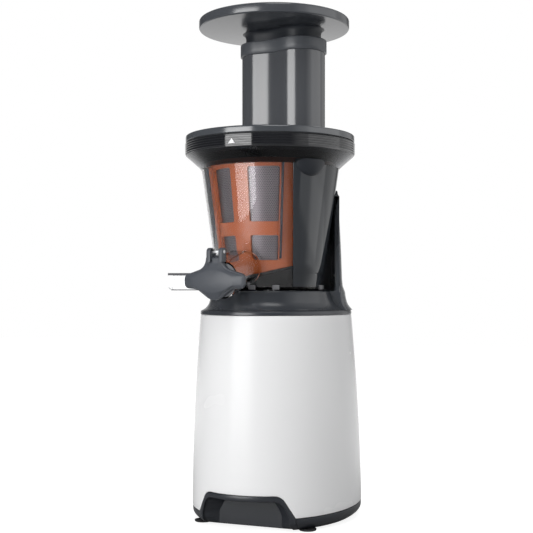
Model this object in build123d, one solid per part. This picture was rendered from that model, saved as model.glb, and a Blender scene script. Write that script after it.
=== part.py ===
from build123d import *
import math
import os

# A vertical cold press juicer. All sizes are in millimetres. Everything is drawn about the
# drive axis: the vertical line of the spindle, scroll, bowl and lid. The front is -Y, the right
# side is +X, and heights are above the surface that the juicer stands on. An azimuth is an angle
# in plan: 0 is the front, 90 the right side, 180 the back.

# Place of the drive axis in the part's frame, whose origin is the middle of the footprint.
AXIS_X = 7.3
AXIS_Y = -11.3

# Power unit casing
SHELL_TOP = 182.0
SHELL_BOTTOM_FRONT = 12.3
SHELL_BOTTOM_SLOPE = 0.7  # degrees, rising to the back
BODY_HALF_WIDTH = 74.4  # at the floor
BODY_TAPER = 8.2  # taken off the half width at the shell's top
BODY_TAPER_POWER = 1.8
BODY_DEPTH_RATIO = 1.21
BODY_BACKSET = 19.5  # from the drive axis back to the middle of the oval, at the floor
BODY_LEAN = 3.0  # taken off the backset at the shell's top
SHELL_WALL = 2.6
PAN_BOTTOM = 1.6
PAN_FLOOR = 4.4
PAN_EDGE = [(PAN_BOTTOM, 4.0), (2.6, 1.8), (4.5, 0.6), (28.0, 0.1)]  # height, inset
SEAM_GAP = 0.4
FOOT_RADIUS = 7.5
FOOT_PLACES = [(49, -36), (-49, -36), (46, 76), (-46, 76)]
VENT_COUNT = 9

# Recess at the foot of the front, open below: an arch that narrows towards its back wall
NICHE_FOOT_HALF = 44.5  # half width of the arch at the seam
NICHE_TOP_HALF = 34.5
NICHE_TOP = 31.5
NICHE_CORNER = 9.0
NICHE_MOUTH_HALF = 39.5  # half width of the inner opening at the front
NICHE_MOUTH_TOP = 26.6
NICHE_BACK_HALF = 29.0
NICHE_BACK_TOP = 24.0
NICHE_BACK_Y = -45.0
NICHE_LEAN = 6.0  # how far the inner opening leans in from its foot to its top
NICHE_WALL = 2.0

# Deck and rear column: each row is height, half width, half depth, backset
BRIM_TOP = 186.0
DECK_TOP = 203.0
DECK_FLARE = [
    (BRIM_TOP, 64.6, 78.4, 16.5),
    (188.5, 60.6, 73.0, 14.0),
    (192.0, 57.2, 67.0, 10.5),
    (197.0, 54.6, 60.0, 5.0),
    (DECK_TOP, 53.4, 53.5, 0.0),
]
COLUMN_TOP = 294.0
COLUMN_FLARE = [
    (BRIM_TOP, 64.6, 78.4, 16.5),
    (190.0, 62.2, 75.4, 14.4),
    (194.0, 61.0, 73.6, 13.0),
    (198.0, 60.4, 72.6, 12.3),
    (202.0, 60.1, 72.0, 12.0),
]
COLUMN_SKIN = [
    (202.0, 60.1, 72.0, 12.0),
    (248.0, 59.0, 70.2, 9.6),
    (COLUMN_TOP, 57.4, 67.4, 6.4),
]
COLUMN_FRONT_Y = 17.0
COLUMN_CORNER = 16.0
COLUMN_POCKET = 59.8
COLUMN_EDGE_AZIMUTH = 111.0
COLUMN_WALL = 2.6
COLUMN_CORE = 53.5

# Drive train: a motor, two spur stages and the spindle
MOTOR_Y = 53.66
MOTOR_RADIUS = 40.0
STAGE_MODULE = 0.95
OUTPUT_MODULE = 1.2
PINION_TEETH = 12
STAGE_TEETH = 60
OUTPUT_TEETH = 56
COUNTER_X = -26.0
COUNTER_Y = math.sqrt((OUTPUT_MODULE * (PINION_TEETH + OUTPUT_TEETH) / 2) ** 2 - COUNTER_X**2)
ROTOR_SHAFT_RADIUS = 4.0
COUNTER_SHAFT_RADIUS = 4.0
SPINDLE_RADIUS = 6.0
RUNNING_GAP = 0.05
GEARBOX_BOTTOM = 122.0
GEARBOX_TOP = 166.0
COVER_TOP = 170.0
GEARBOX_LOBES = [(0, 0, 38), (COUNTER_X, COUNTER_Y, 32), (0, MOTOR_Y, 38)]
GEARBOX_SCREWS = [(22, -22), (-22, -22), (32, 18), (-38, 10)]
SPINDLE_HEX = 12.0  # across flats
SPINDLE_TIP = 246.0

# Rear switch, inlet and interlock
SWITCH_Z = 46.0
SWITCH_FACE_Y = 110.0
ROCKER_PIVOT_Y = 104.0
INLET_X = -28.0
INLET_Z = 32.0
INTERLOCK_AZIMUTH = 150.0
INTERLOCK_RADIUS = 42.0

# Bowl
BOWL_FOOT = 204.0
BOWL_FLOOR = 206.6
BOWL_RADIUS_FOOT = 46.0
BOWL_RADIUS_TOP = 61.3
BOWL_TOP = 312.0
BOWL_WALL = 2.6
BOWL_SLOPE = (BOWL_RADIUS_TOP - BOWL_RADIUS_FOOT) / (BOWL_TOP - BOWL_FOOT)
HUB_BORE = 9.1
HUB_RADIUS = 12.5
HUB_TOP = 226.0
PANEL_FACING = 22.0  # azimuth that the panel's upright front edge faces
PANEL_EDGE = 19.5  # from the drive axis across to that edge
PANEL_TO = 262.0
PANEL_PROUD = 0.5
BASE_SLOPE = 13.0  # degrees: the base falls towards the pulp chute
BASE_MIDDLE = 217.0
BASE_LOW_AZIMUTH = -74.0
COLLAR_RADIUS = 76.0
COLLAR_BOTTOM = 323.4
COLLAR_TOP = 334.4
COLLAR_INNER = 73.0
COLLAR_RIBS = 5
RIB_HEIGHT = 0.5
LUG_COUNT = 4
LOCK_TAB_PAIRS = (3.0, 93.0, 183.0)
LOCK_TAB_STEP = 25.0
LOCK_TAB_PANEL = 45.0  # tabs past this azimuth sit on the panel

# Spout and stopper
SPOUT_AZIMUTH = -10.0
SPOUT_REACH = 80.5
SPOUT_END_Z = 212.0
SPOUT_FALL = 19.0  # degrees below level
SPOUT_WIDTH = 37.0
SPOUT_HEIGHT = 29.0
SPOUT_WALL = 2.4
STOPPER_BACK = 81.3
STOPPER_THICK = 7.5
STOPPER_PIN_REACH = 84.0
STOPPER_PIN_Z = 235.5
STOPPER_PIN_RADIUS = 1.5
STOPPER_OUTLINE = [  # right half, from the neck down: across, up, corner radius
    (8.3, 22.0, 0.0),
    (9.0, 10.4, 10.0),
    (30.6, 4.0, 4.4),
    (30.2, -6.9, 4.4),
    (17.5, -7.9, 8.0),
    (0.0, -19.5, 13.0),
]

# Pulp chute
CHUTE_AZIMUTH = -74.0
CHUTE_REACH = 90.0
CHUTE_WIDTH = 30.0
CHUTE_BOTTOM = 203.6
CHUTE_TOP = 219.0
CHUTE_WALL = 2.0

# Strainer and scroll
SCREEN_RADIUS = 40.5  # outside, at SCREEN_FROM
SCREEN_FROM = 217.0
SCREEN_SLOPE = 0.125
SCREEN_WALL = 2.4
SCREEN_TOP = 313.0
SCREEN_RIM_TOP = 317.0
SCREEN_RIM_RADIUS = 58.2
WINDOW_COUNT = 7
WINDOW_AZIMUTH = 16.0
WINDOW_ANGLE = 32.0
WINDOW_ROWS = [(229.6, 251.0), (262.6, 309.5)]
MESH_THICK = 0.45
RIB_AZIMUTHS = (33.0, 123.0, 213.0, 303.0)
RIB_BOTTOM = 231.0
RIB_TOP = 312.0
RIB_REACH = 3.0  # proud of the strainer's frame
SCROLL_BOTTOM = 229.5
SCROLL_TOP = 318.0
SCROLL_PIN_RADIUS = 4.0
FLIGHT_PITCH = 44.0
FLIGHT_THICK = 4.5

# Lid, feed tube and pusher. The feed tube's section is two lobes blended together.
LID_BOTTOM = 335.2
LID_TOP = 341.0
LID_RADIUS = 75.5
SKIRT_RADIUS = 69.4
FEED_LOBES = [(23.9, 12.9, 22.5), (-13.4, 17.2, 19.5)]
FEED_FRONT_BLEND = 45.0
FEED_BACK_BLEND = 150.0
FEED_WALL = 2.5
FEED_LIP_BOTTOM = 416.0
FEED_TOP = 427.6
FEED_LIP_PROUD = 1.4
PUSHER_X = 1.6
PUSHER_Y = 6.0
PUSHER_RADIUS = 67.5
PUSHER_BOTTOM = 437.5
PUSHER_TOP = 446.0
PUSHER_DOME = 2.0
PUSHER_GAP = 1.2
STEM_BOTTOM = 347.0
STEM_WALL = 2.5

BIG = 400.0
UP = (Align.CENTER, Align.CENTER, Align.MIN)


# ---------------------------------------------------------------------------- shape helpers
def disc(radius, bottom, top, x=0.0, y=0.0):
    return Pos(x, y, bottom) * Cylinder(radius, top - bottom, align=UP)


def ring(outer, inner, bottom, top, x=0.0, y=0.0):
    return disc(outer, bottom, top, x, y) - disc(inner, bottom - 1, top + 1, x, y)


def block(x0, x1, y0, y1, z0, z1):
    middle = ((x0 + x1) / 2, (y0 + y1) / 2, (z0 + z1) / 2)
    return Pos(*middle) * Box(x1 - x0, y1 - y0, z1 - z0)


def turned(profile):
    """Solid of revolution about the drive axis, from (radius, height) points."""
    outline = Polyline([(radius, 0, height) for radius, height in profile], close=True)
    return revolve(make_face(outline.edges()), Axis.Z)


def around(azimuth, shape):
    """A shape drawn at the front, turned to an azimuth."""
    return Rot(0, 0, azimuth) * shape


def rod_across(radius, half_length, y, z):
    """A rod along X."""
    return Pos(0, y, z) * Rot(0, 90, 0) * Cylinder(radius, 2 * half_length)


def wedge(start, end, radius, bottom, top):
    """The part of a cylinder between two azimuths."""
    steps = max(2, math.ceil((end - start) / 40))
    reach = radius / math.cos(math.radians((end - start) / steps / 2))
    rim = []
    for step in range(steps + 1):
        angle = math.radians(start + (end - start) * step / steps)
        rim.append((reach * math.sin(angle), -reach * math.cos(angle)))
    face = make_face(Polyline([(0, 0)] + rim, close=True).edges())
    return Pos(0, 0, bottom) * extrude(face, top - bottom)


def ovals(rows, inset=0.0):
    """A smooth skin through ovals, each given by height, half width, half depth and backset."""
    faces = []
    for height, half_width, half_depth, backset in rows:
        faces.append(Pos(0, backset, height) * Ellipse(half_width - inset, half_depth - inset))
    return loft(faces)


def front_prism(width, bottom, top, corner, front, back):
    """A rounded rectangle seen from the front, run from front to back along Y."""
    face = RectangleRounded(width, top - bottom, corner)
    return Pos(0, back, (bottom + top) / 2) * Rot(90, 0, 0) * extrude(face, back - front)


def largest(shape):
    """The main solid of a cut, without slivers left at its edges."""
    return shape.solids().sort_by(SortBy.VOLUME)[-1]


def fused(shapes):
    whole = shapes[0]
    for shape in shapes[1:]:
        whole = whole + shape
    return whole


# ---------------------------------------------------------------------------- power unit casing
def body_row(height, inset=0.0):
    """The casing's oval at one height."""
    rise = height / SHELL_TOP
    half_width = BODY_HALF_WIDTH - BODY_TAPER * rise**BODY_TAPER_POWER
    backset = BODY_BACKSET - BODY_LEAN * rise
    return (height, half_width - inset, half_width * BODY_DEPTH_RATIO - inset, backset)


def body_form(inset, bottom=4.0, top=SHELL_TOP):
    steps = 5
    heights = [bottom + (top - bottom) * step / steps for step in range(steps + 1)]
    return ovals([body_row(height, inset) for height in heights])


def above_seam(drop=0.0):
    """All space above the sloping seam between the shell and the pan."""
    front = body_row(0)[3] - body_row(0)[2]
    place = Location((0, front, SHELL_BOTTOM_FRONT - drop), (SHELL_BOTTOM_SLOPE, 0, 0))
    return place * Box(2 * BIG, 2 * BIG, BIG, align=UP)


def arch(foot_half, top_half, foot, top, corner, y):
    """An arch in a plane across Y: upright to the height foot, then leaning in to its top."""
    points = [
        (-foot_half, -30),
        (-foot_half, foot),
        (-top_half, top),
        (top_half, top),
        (foot_half, foot),
        (foot_half, -30),
    ]
    face = make_face(Polyline(points, close=True).edges())
    face = fillet(face.vertices().group_by(Axis.Y)[-1], corner)
    return Pos(0, y, 0) * Rot(90, 0, 0) * face


def niche_prism(grow, back):
    """The arch of the front recess, run in from the front."""
    foot_half = NICHE_FOOT_HALF + grow
    top_half = NICHE_TOP_HALF + grow
    face = arch(foot_half, top_half, SHELL_BOTTOM_FRONT, NICHE_TOP + grow, NICHE_CORNER, back)
    return extrude(face, back + 90, dir=(0, -1, 0))


def niche_hollow():
    """The space of the recess, which narrows from its mouth to its back wall."""
    mouth_y = -60.0
    front_y = -90.0
    spread = (mouth_y - front_y) / (NICHE_BACK_Y - mouth_y)
    front_half = NICHE_MOUTH_HALF + (NICHE_MOUTH_HALF - NICHE_BACK_HALF) * spread
    front_top = NICHE_MOUTH_TOP + (NICHE_MOUTH_TOP - NICHE_BACK_TOP) * spread
    ends = []
    for half, top, y in ((front_half, front_top, front_y), (NICHE_BACK_HALF, NICHE_BACK_TOP, NICHE_BACK_Y)):
        ends.append(arch(half, half - NICHE_LEAN, SHELL_BOTTOM_FRONT, top, NICHE_CORNER, y))
    return loft(ends, ruled=True)


def switch_hole(grow=0.0):
    half_width = 14 + grow
    half_height = 11 + grow
    return block(-half_width, half_width, 80, 130, SWITCH_Z - half_height, SWITCH_Z + half_height)


def body_shell():
    shell = body_form(0.0) - body_form(SHELL_WALL)
    shell = shell & above_seam()
    shell -= niche_prism(0.3, NICHE_BACK_Y + NICHE_WALL + 1)
    shell -= switch_hole(0.2)
    shell -= Pos(INLET_X, 100, INLET_Z) * Rot(90, 0, 0) * Cylinder(6.2, 40)
    lining = body_form(SHELL_WALL / 2)
    bosses = []
    for side in (-1, 1):
        for y in (0, 56):
            boss = disc(4.5, 30, 58, side * 56, y)
            web_inner, web_outer = sorted((side * 56, side * 76))
            boss += block(web_inner, web_outer, y - 1.5, y + 1.5, 30, 58)
            boss -= disc(1.6, 29, 50, side * 56, y)
            bosses.append(boss & lining)
    return fused([shell] + bosses)


def base_pan():
    outer = loft(
        [
            Pos(0, body_row(z)[3], z) * Ellipse(body_row(z, inset)[1], body_row(z, inset)[2])
            for z, inset in PAN_EDGE
        ],
        ruled=True,
    )
    tray = outer - above_seam(SEAM_GAP)
    tray -= body_form(3.4, bottom=PAN_FLOOR, top=40)
    lip = body_form(3.0, bottom=PAN_FLOOR - 0.5, top=24) - body_form(5.0, bottom=PAN_FLOOR - 1, top=27)
    pan = tray + lip
    for side in (-1, 1):
        for y in (0, 56):
            pan += disc(5.5, PAN_FLOOR - 1, 29.8, side * 56, y)
            pan -= disc(3.6, PAN_BOTTOM - 1, 24, side * 56, y)
            pan -= disc(1.8, PAN_BOTTOM - 1, 31, side * 56, y)
        for y in (-26, 6):
            pan += disc(3.0, PAN_FLOOR - 1, 20, side * 34, y)
    pan -= niche_prism(0.3, NICHE_BACK_Y + NICHE_WALL + 0.2)
    for index in range(VENT_COUNT):
        x = (index - (VENT_COUNT - 1) / 2) * 8
        pan -= block(x - 1.4, x + 1.4, 30, 76, PAN_BOTTOM - 1, PAN_FLOOR + 1)
    for x, y in FOOT_PLACES:
        pan -= disc(3.0, PAN_BOTTOM - 1, PAN_FLOOR + 1, x, y)
    return pan


def niche_frame():
    """The lining of the front recess, flush with the casing and open below."""
    body = niche_prism(0.0, NICHE_BACK_Y + NICHE_WALL) & body_form(-0.2, bottom=PAN_BOTTOM)
    return body - niche_hollow()


def rubber_feet():
    feet = []
    for x, y in FOOT_PLACES:
        stud = disc(2.95, PAN_BOTTOM - 0.5, PAN_FLOOR + 1.5, x, y)
        feet.append(disc(FOOT_RADIUS, 0, PAN_BOTTOM, x, y) + stud)
    return fused(feet)


def base_screws():
    screws = []
    for side in (-1, 1):
        for y in (0, 56):
            screw = disc(3.4, 21, 24, side * 56, y) + disc(1.55, 23, 44, side * 56, y)
            screws.append(screw)
    return fused(screws)


def top_deck():
    brim = ovals([body_row(SHELL_TOP, -0.3), body_row(BRIM_TOP, -0.3)])
    deck = brim + ovals(DECK_FLARE)
    cavity = loft(
        [
            Pos(0, 16.5, SHELL_TOP - 0.1) * Ellipse(61.5, 75.4),
            Pos(0, 10.0, 190) * Ellipse(52.5, 62.5),
            Pos(0, 0, DECK_TOP - 3.5) * Ellipse(48.0, 48.1),
        ],
        ruled=True,
    )
    deck -= cavity
    deck -= column_sector(COLUMN_EDGE_AZIMUTH, DECK_TOP + 1) - disc(COLUMN_CORE, BRIM_TOP - 1, DECK_TOP + 2)
    for x, y in GEARBOX_SCREWS:
        deck += disc(5, COVER_TOP, DECK_TOP - 1, x, y)
        deck -= disc(1.6, COVER_TOP - 1, COVER_TOP + 14, x, y)
    deck -= disc(13, DECK_TOP - 5, DECK_TOP + 1)
    x, y = interlock_place()
    deck += ring(6, 3 + RUNNING_GAP, DECK_TOP - 12, DECK_TOP - 3, x, y)
    deck -= disc(3 + RUNNING_GAP, DECK_TOP - 13, DECK_TOP + 1, x, y)
    return deck


def column_sector(edge, top):
    """The sector of the deck that the rear column stands in."""
    return wedge(edge, 360 - edge, 130, BRIM_TOP, top)


def rear_column():
    """The upright behind the bowl: a curved skin round a straight pocket, hollow inside."""
    skin = ovals(COLUMN_FLARE) + ovals(COLUMN_SKIN)
    side = Rectangle(BIG, COLUMN_TOP - BRIM_TOP + COLUMN_CORNER)
    side = fillet(side.vertices().group_by(Axis.Y)[-1].sort_by(Axis.X)[0], COLUMN_CORNER)
    side = Rot(0, 0, 90) * Rot(90, 0, 0) * extrude(side, 80, both=True)
    side = Pos(0, COLUMN_FRONT_Y + BIG / 2, (COLUMN_TOP + BRIM_TOP - COLUMN_CORNER) / 2) * side
    column = skin & column_sector(COLUMN_EDGE_AZIMUTH, COLUMN_TOP) & side
    column -= disc(COLUMN_CORE, BRIM_TOP - 1, DECK_TOP)
    column -= disc(COLUMN_POCKET, DECK_TOP, COLUMN_TOP + 1)
    hollow = ovals(COLUMN_SKIN, COLUMN_WALL) & column_sector(COLUMN_EDGE_AZIMUTH + 25, COLUMN_TOP - 4)
    hollow -= disc(COLUMN_POCKET + COLUMN_WALL, BRIM_TOP, COLUMN_TOP)
    return largest(column - hollow)


# ---------------------------------------------------------------------------- motor
def motor_stator():
    stator = ring(MOTOR_RADIUS, 24.6, 48, 98, 0, MOTOR_Y)
    for index in range(6):
        angle = math.radians(30 + 60 * index)
        x = 38.5 * math.cos(angle)
        y = MOTOR_Y + 38.5 * math.sin(angle)
        stator -= disc(2.2, 47, 99, x, y)
    return stator


def motor_windings():
    return fused([ring(36, 27, 98, 106, 0, MOTOR_Y), ring(36, 27, 40, 48, 0, MOTOR_Y)])


def motor_bracket(plate, rim):
    """A bearing bracket: a spoked plate at one height, and a rim that reaches the stator."""
    low, high = sorted((plate, plate + 4))
    bracket = ring(MOTOR_RADIUS, 9, low, high, 0, MOTOR_Y)
    for index in range(6):
        angle = math.radians(60 * index)
        x = 23 * math.cos(angle)
        y = MOTOR_Y + 23 * math.sin(angle)
        bracket -= disc(6, low - 1, high + 1, x, y)
    rim_low, rim_high = sorted((rim, low if rim < low else high))
    bracket += ring(MOTOR_RADIUS, 37.5, rim_low, rim_high, 0, MOTOR_Y)
    return bracket


def motor_bearings():
    inner = ROTOR_SHAFT_RADIUS + RUNNING_GAP
    return fused([ring(9, inner, 33, 39, 0, MOTOR_Y), ring(9, inner, 107, 113, 0, MOTOR_Y)])


def motor_mounts():
    mounts = []
    for index in range(3):
        angle = math.radians(30 + 120 * index)
        x = 31 * math.cos(angle)
        y = MOTOR_Y + 31 * math.sin(angle)
        mounts.append(disc(5, 112, GEARBOX_BOTTOM, x, y))
    return fused(mounts)


def rotor_shaft():
    return disc(ROTOR_SHAFT_RADIUS, 20, 139, 0, MOTOR_Y)


def rotor_core():
    return ring(24.0, ROTOR_SHAFT_RADIUS, 46, 100, 0, MOTOR_Y)


def cooling_fan():
    fan = ring(9, ROTOR_SHAFT_RADIUS, 20, 31, 0, MOTOR_Y) + ring(33, 8, 20, 22, 0, MOTOR_Y)
    for index in range(9):
        blade = block(8, 32, -1, 1, 21.5, 30)
        fan += Pos(0, MOTOR_Y, 0) * Rot(0, 0, 40 * index) * blade
    return fan


# ---------------------------------------------------------------------------- gears
def spur_gear(module, teeth, bottom, top, bore, turn):
    """A spur gear with 20 degree involute flanks, with a tooth centred at the angle turn."""
    pitch = module * teeth / 2
    base = pitch * math.cos(math.radians(20))
    tip = pitch + 0.9 * module
    root = pitch - 1.25 * module
    backlash = 0.22
    half_tooth = math.pi / (2 * teeth) - backlash / (2 * pitch) + involute(math.radians(20))
    start = max(base, root)
    flank = []
    for step in range(5):
        radius = start + (tip - start) * step / 4
        flank.append((radius, half_tooth - involute(math.acos(min(1.0, base / radius)))))
    if root < base:
        flank.insert(0, (root, half_tooth))
    outline = []
    for tooth in range(teeth):
        middle = math.radians(turn) + 2 * math.pi * tooth / teeth
        for radius, angle in flank:
            outline.append((radius, middle - angle))
        for radius, angle in reversed(flank):
            outline.append((radius, middle + angle))
    points = [(radius * math.cos(angle), radius * math.sin(angle)) for radius, angle in outline]
    face = make_face(Polyline(points, close=True).edges()) - Circle(bore)
    return Pos(0, 0, bottom) * extrude(face, top - bottom)


def involute(angle):
    return math.tan(angle) - angle


def gear_angles():
    """Tooth angles that put the train in mesh: output, counter pinion, stage and motor pinion."""
    to_counter = math.degrees(math.atan2(COUNTER_Y, COUNTER_X))
    output = to_counter + 180 / OUTPUT_TEETH
    counter_pinion = to_counter + 180
    to_motor = math.degrees(math.atan2(MOTOR_Y - COUNTER_Y, -COUNTER_X))
    stage = to_motor + 180 / STAGE_TEETH
    motor_pinion = to_motor + 180
    return output, counter_pinion, stage, motor_pinion


def motor_pinion():
    turn = gear_angles()[3]
    gear = spur_gear(STAGE_MODULE, PINION_TEETH, 127, 139, ROTOR_SHAFT_RADIUS, turn)
    return Pos(0, MOTOR_Y, 0) * gear


def stage_gear():
    turn = gear_angles()[2]
    gear = spur_gear(STAGE_MODULE, STAGE_TEETH, 129, 137, COUNTER_SHAFT_RADIUS, turn)
    gear += ring(8, COUNTER_SHAFT_RADIUS, 127.7, 138.5)
    for index in range(6):
        angle = math.radians(turn + 60 * index)
        gear -= disc(5, 120, 140, 17 * math.cos(angle), 17 * math.sin(angle))
    return Pos(COUNTER_X, COUNTER_Y, 0) * gear


def counter_pinion():
    turn = gear_angles()[1]
    gear = spur_gear(OUTPUT_MODULE, PINION_TEETH, 138.7, 153, COUNTER_SHAFT_RADIUS, turn)
    return Pos(COUNTER_X, COUNTER_Y, 0) * gear


def counter_shaft():
    return disc(COUNTER_SHAFT_RADIUS, 123, 170, COUNTER_X, COUNTER_Y)


def output_gear():
    turn = gear_angles()[0]
    gear = spur_gear(OUTPUT_MODULE, OUTPUT_TEETH, 141, 151, SPINDLE_RADIUS, turn)
    gear += ring(12, SPINDLE_RADIUS, 138.5, 156)
    for index in range(6):
        angle = math.radians(turn + 60 * index)
        gear -= disc(6, 130, 160, 21 * math.cos(angle), 21 * math.sin(angle))
    return gear


def drive_spindle():
    across_corners = SPINDLE_HEX / math.cos(math.radians(30)) / 2
    hexagon = Pos(0, 0, DECK_TOP + 1) * extrude(
        RegularPolygon(across_corners, 6), SPINDLE_TIP - DECK_TOP - 1
    )
    tip = SPINDLE_TIP + 0.5
    tip_cone = turned([(0, 190), (9, 190), (9, SPINDLE_TIP - 3), (5, tip), (0, tip)])
    return disc(SPINDLE_RADIUS, 123, DECK_TOP + 1) + (hexagon & tip_cone)


def gearbox_outline(inset):
    circles = [Pos(x, y) * Circle(radius - inset) for x, y, radius in GEARBOX_LOBES]
    return make_hull([edge for circle in circles for edge in circle.edges()])


def gearbox_housing():
    box = Pos(0, 0, GEARBOX_BOTTOM) * extrude(gearbox_outline(0), GEARBOX_TOP - GEARBOX_BOTTOM)
    box -= Pos(0, 0, GEARBOX_BOTTOM + 4) * extrude(gearbox_outline(2.5), GEARBOX_TOP)
    box -= disc(12, GEARBOX_BOTTOM - 1, GEARBOX_BOTTOM + 5)
    box -= disc(7, GEARBOX_BOTTOM - 1, GEARBOX_BOTTOM + 5, COUNTER_X, COUNTER_Y)
    box -= disc(10, GEARBOX_BOTTOM - 1, GEARBOX_BOTTOM + 5, 0, MOTOR_Y)
    return box


def gearbox_cover():
    cover = Pos(0, 0, GEARBOX_TOP) * extrude(gearbox_outline(0), COVER_TOP - GEARBOX_TOP)
    cover += ring(20, 16, COVER_TOP - 1, COVER_TOP + 5)
    cover -= disc(16, GEARBOX_TOP - 1, COVER_TOP + 6)
    cover -= disc(7, GEARBOX_TOP - 1, COVER_TOP + 1, COUNTER_X, COUNTER_Y)
    for x, y in GEARBOX_SCREWS:
        cover -= disc(2.0, GEARBOX_TOP - 1, COVER_TOP + 1, x, y)
    return cover


def gearbox_screws():
    screws = []
    for x, y in GEARBOX_SCREWS:
        screws.append(disc(3.2, GEARBOX_TOP - 3, GEARBOX_TOP, x, y) + disc(1.55, GEARBOX_TOP - 1, 182, x, y))
    return fused(screws)


def counter_bushes():
    inner = COUNTER_SHAFT_RADIUS + RUNNING_GAP
    low = ring(7, inner, GEARBOX_BOTTOM, GEARBOX_BOTTOM + 5.5, COUNTER_X, COUNTER_Y)
    high = ring(7, inner, GEARBOX_TOP - 3, COVER_TOP, COUNTER_X, COUNTER_Y)
    return fused([low, high])


def spindle_bearings():
    inner = SPINDLE_RADIUS + RUNNING_GAP
    low = ring(12, inner, GEARBOX_BOTTOM, GEARBOX_BOTTOM + 6)
    high = ring(16, inner, GEARBOX_TOP, COVER_TOP + 5)
    return fused([low, high])


def spindle_seal():
    return ring(13, SPINDLE_RADIUS + RUNNING_GAP, DECK_TOP - 4, DECK_TOP + 0.4)


# ---------------------------------------------------------------------------- electrics
def control_board():
    board = block(-40, 40, -30, 10, 20, 21.6)
    board += block(8, 34, -24, -6, 21.2, 38)
    board += block(14, 30, -2, 6, 21.2, 32)
    for x in (-8, 0):
        board += disc(3.5, 21.2, 34, x, 4)
    return board


def run_capacitor():
    return Pos(-22, -14, 21.6) * extrude(RectangleRounded(34, 18, 3), 26)


def switch_housing():
    bezel = front_prism(34, SWITCH_Z - 14, SWITCH_Z + 14, 4, 106.6, SWITCH_FACE_Y + 0.6)
    bezel -= body_form(0.0)
    housing = bezel + block(-14, 14, 96, SWITCH_FACE_Y, SWITCH_Z - 11, SWITCH_Z + 11)
    housing -= block(-7, 7, 97.5, 120, SWITCH_Z - 10.6, SWITCH_Z + 10.6)
    housing += rod_across(1.5, 8, ROCKER_PIVOT_Y, SWITCH_Z)
    return housing


def power_rocker():
    barrel = rod_across(10.2, 6.6, ROCKER_PIVOT_Y, SWITCH_Z)
    barrel -= block(-20, 20, 80, ROCKER_PIVOT_Y - 3, 0, 100)
    barrel -= rod_across(14, 20, ROCKER_PIVOT_Y + 8.2 + 14, SWITCH_Z)
    barrel -= rod_across(1.5 + RUNNING_GAP, 20, ROCKER_PIVOT_Y, SWITCH_Z)
    return barrel


def cord_inlet():
    barrel = Cylinder(6, 20) + Pos(0, 0, -8) * Cylinder(8.5, 4)
    gland = Pos(INLET_X, 101, INLET_Z) * Rot(90, 0, 0) * barrel
    gland = gland + Pos(INLET_X, 111, INLET_Z) * Rot(90, 0, 0) * Cylinder(5, 8)
    return gland - Pos(INLET_X, 100, INLET_Z) * Rot(90, 0, 0) * Cylinder(3.3, 60)


def interlock_place():
    angle = math.radians(INTERLOCK_AZIMUTH)
    return INTERLOCK_RADIUS * math.sin(angle), -INTERLOCK_RADIUS * math.cos(angle)


def interlock_plunger():
    x, y = interlock_place()
    return disc(3, 186, DECK_TOP + 0.7, x, y) + disc(5, 186, 188, x, y)


def interlock_switch():
    x, y = interlock_place()
    body = block(x - 6, x + 6, y - 8, y + 8, COVER_TOP, 181.5)
    return body


# ---------------------------------------------------------------------------- bowl
def bowl_radius(height, inset=0.0):
    return BOWL_RADIUS_FOOT + (height - BOWL_FOOT) * BOWL_SLOPE - inset


def bowl_inside(bottom=BOWL_FLOOR):
    return turned(
        [
            (0, bottom),
            (bowl_radius(bottom, BOWL_WALL), bottom),
            (bowl_radius(BOWL_TOP + 1, BOWL_WALL), BOWL_TOP + 1),
            (0, BOWL_TOP + 1),
        ]
    )


def bowl_cone(inset, high=BOWL_FOOT + 40):
    """The bowl's tapered outside as a solid, from below its foot up to a height."""
    low = BOWL_FOOT - 10
    return turned([(0, low), (bowl_radius(low, inset), low), (bowl_radius(high, inset), high), (0, high)])


def spout_prism(inset):
    """The sloping spout, drawn at the front, with its end cut square to the level."""
    section = RectangleRounded(
        SPOUT_WIDTH - 2 * inset, SPOUT_HEIGHT - 2 * inset, SPOUT_HEIGHT / 2 - 1.5 - inset
    )
    prism = Pos(0, 0, -54) * extrude(section, 70)
    prism = Pos(0, -SPOUT_REACH, SPOUT_END_Z) * Rot(90 + SPOUT_FALL, 0, 0) * prism
    return prism


def bowl():
    outside = turned(
        [
            (0, BOWL_FOOT),
            (BOWL_RADIUS_FOOT, BOWL_FOOT),
            (BOWL_RADIUS_TOP, BOWL_TOP),
            (0, BOWL_TOP),
        ]
    )
    spout = spout_prism(0) - block(-BIG, BIG, -BIG, -SPOUT_REACH, 0, BIG)
    ear = rod_across(3.4, 3.8, -STOPPER_PIN_REACH, STOPPER_PIN_Z)
    ear += block(-3.8, 3.8, -STOPPER_PIN_REACH - 2, -SPOUT_REACH + 8, STOPPER_PIN_Z - 3, STOPPER_PIN_Z + 1)
    ear += block(-3.8, 3.8, -SPOUT_REACH + 0.2, -SPOUT_REACH + 8, SPOUT_END_Z + 8, STOPPER_PIN_Z + 1)
    ear -= rod_across(STOPPER_PIN_RADIUS, 20, -STOPPER_PIN_REACH, STOPPER_PIN_Z)
    vessel = outside + around(SPOUT_AZIMUTH, spout + ear)
    vessel -= bowl_inside()
    vessel -= around(SPOUT_AZIMUTH, spout_prism(SPOUT_WALL) - block(-BIG, BIG, -30, BIG, 0, BIG)
                     - block(-BIG, BIG, -BIG, BIG, 0, BOWL_FLOOR - 9))
    vessel -= panel_sector(BOWL_TOP + 1)
    vessel += ring(HUB_RADIUS, HUB_BORE, BOWL_FOOT, HUB_TOP)
    vessel -= disc(HUB_BORE, BOWL_FOOT - 1, HUB_TOP + 1)
    vessel -= around(CHUTE_AZIMUTH, chute_bore())
    return vessel


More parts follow.
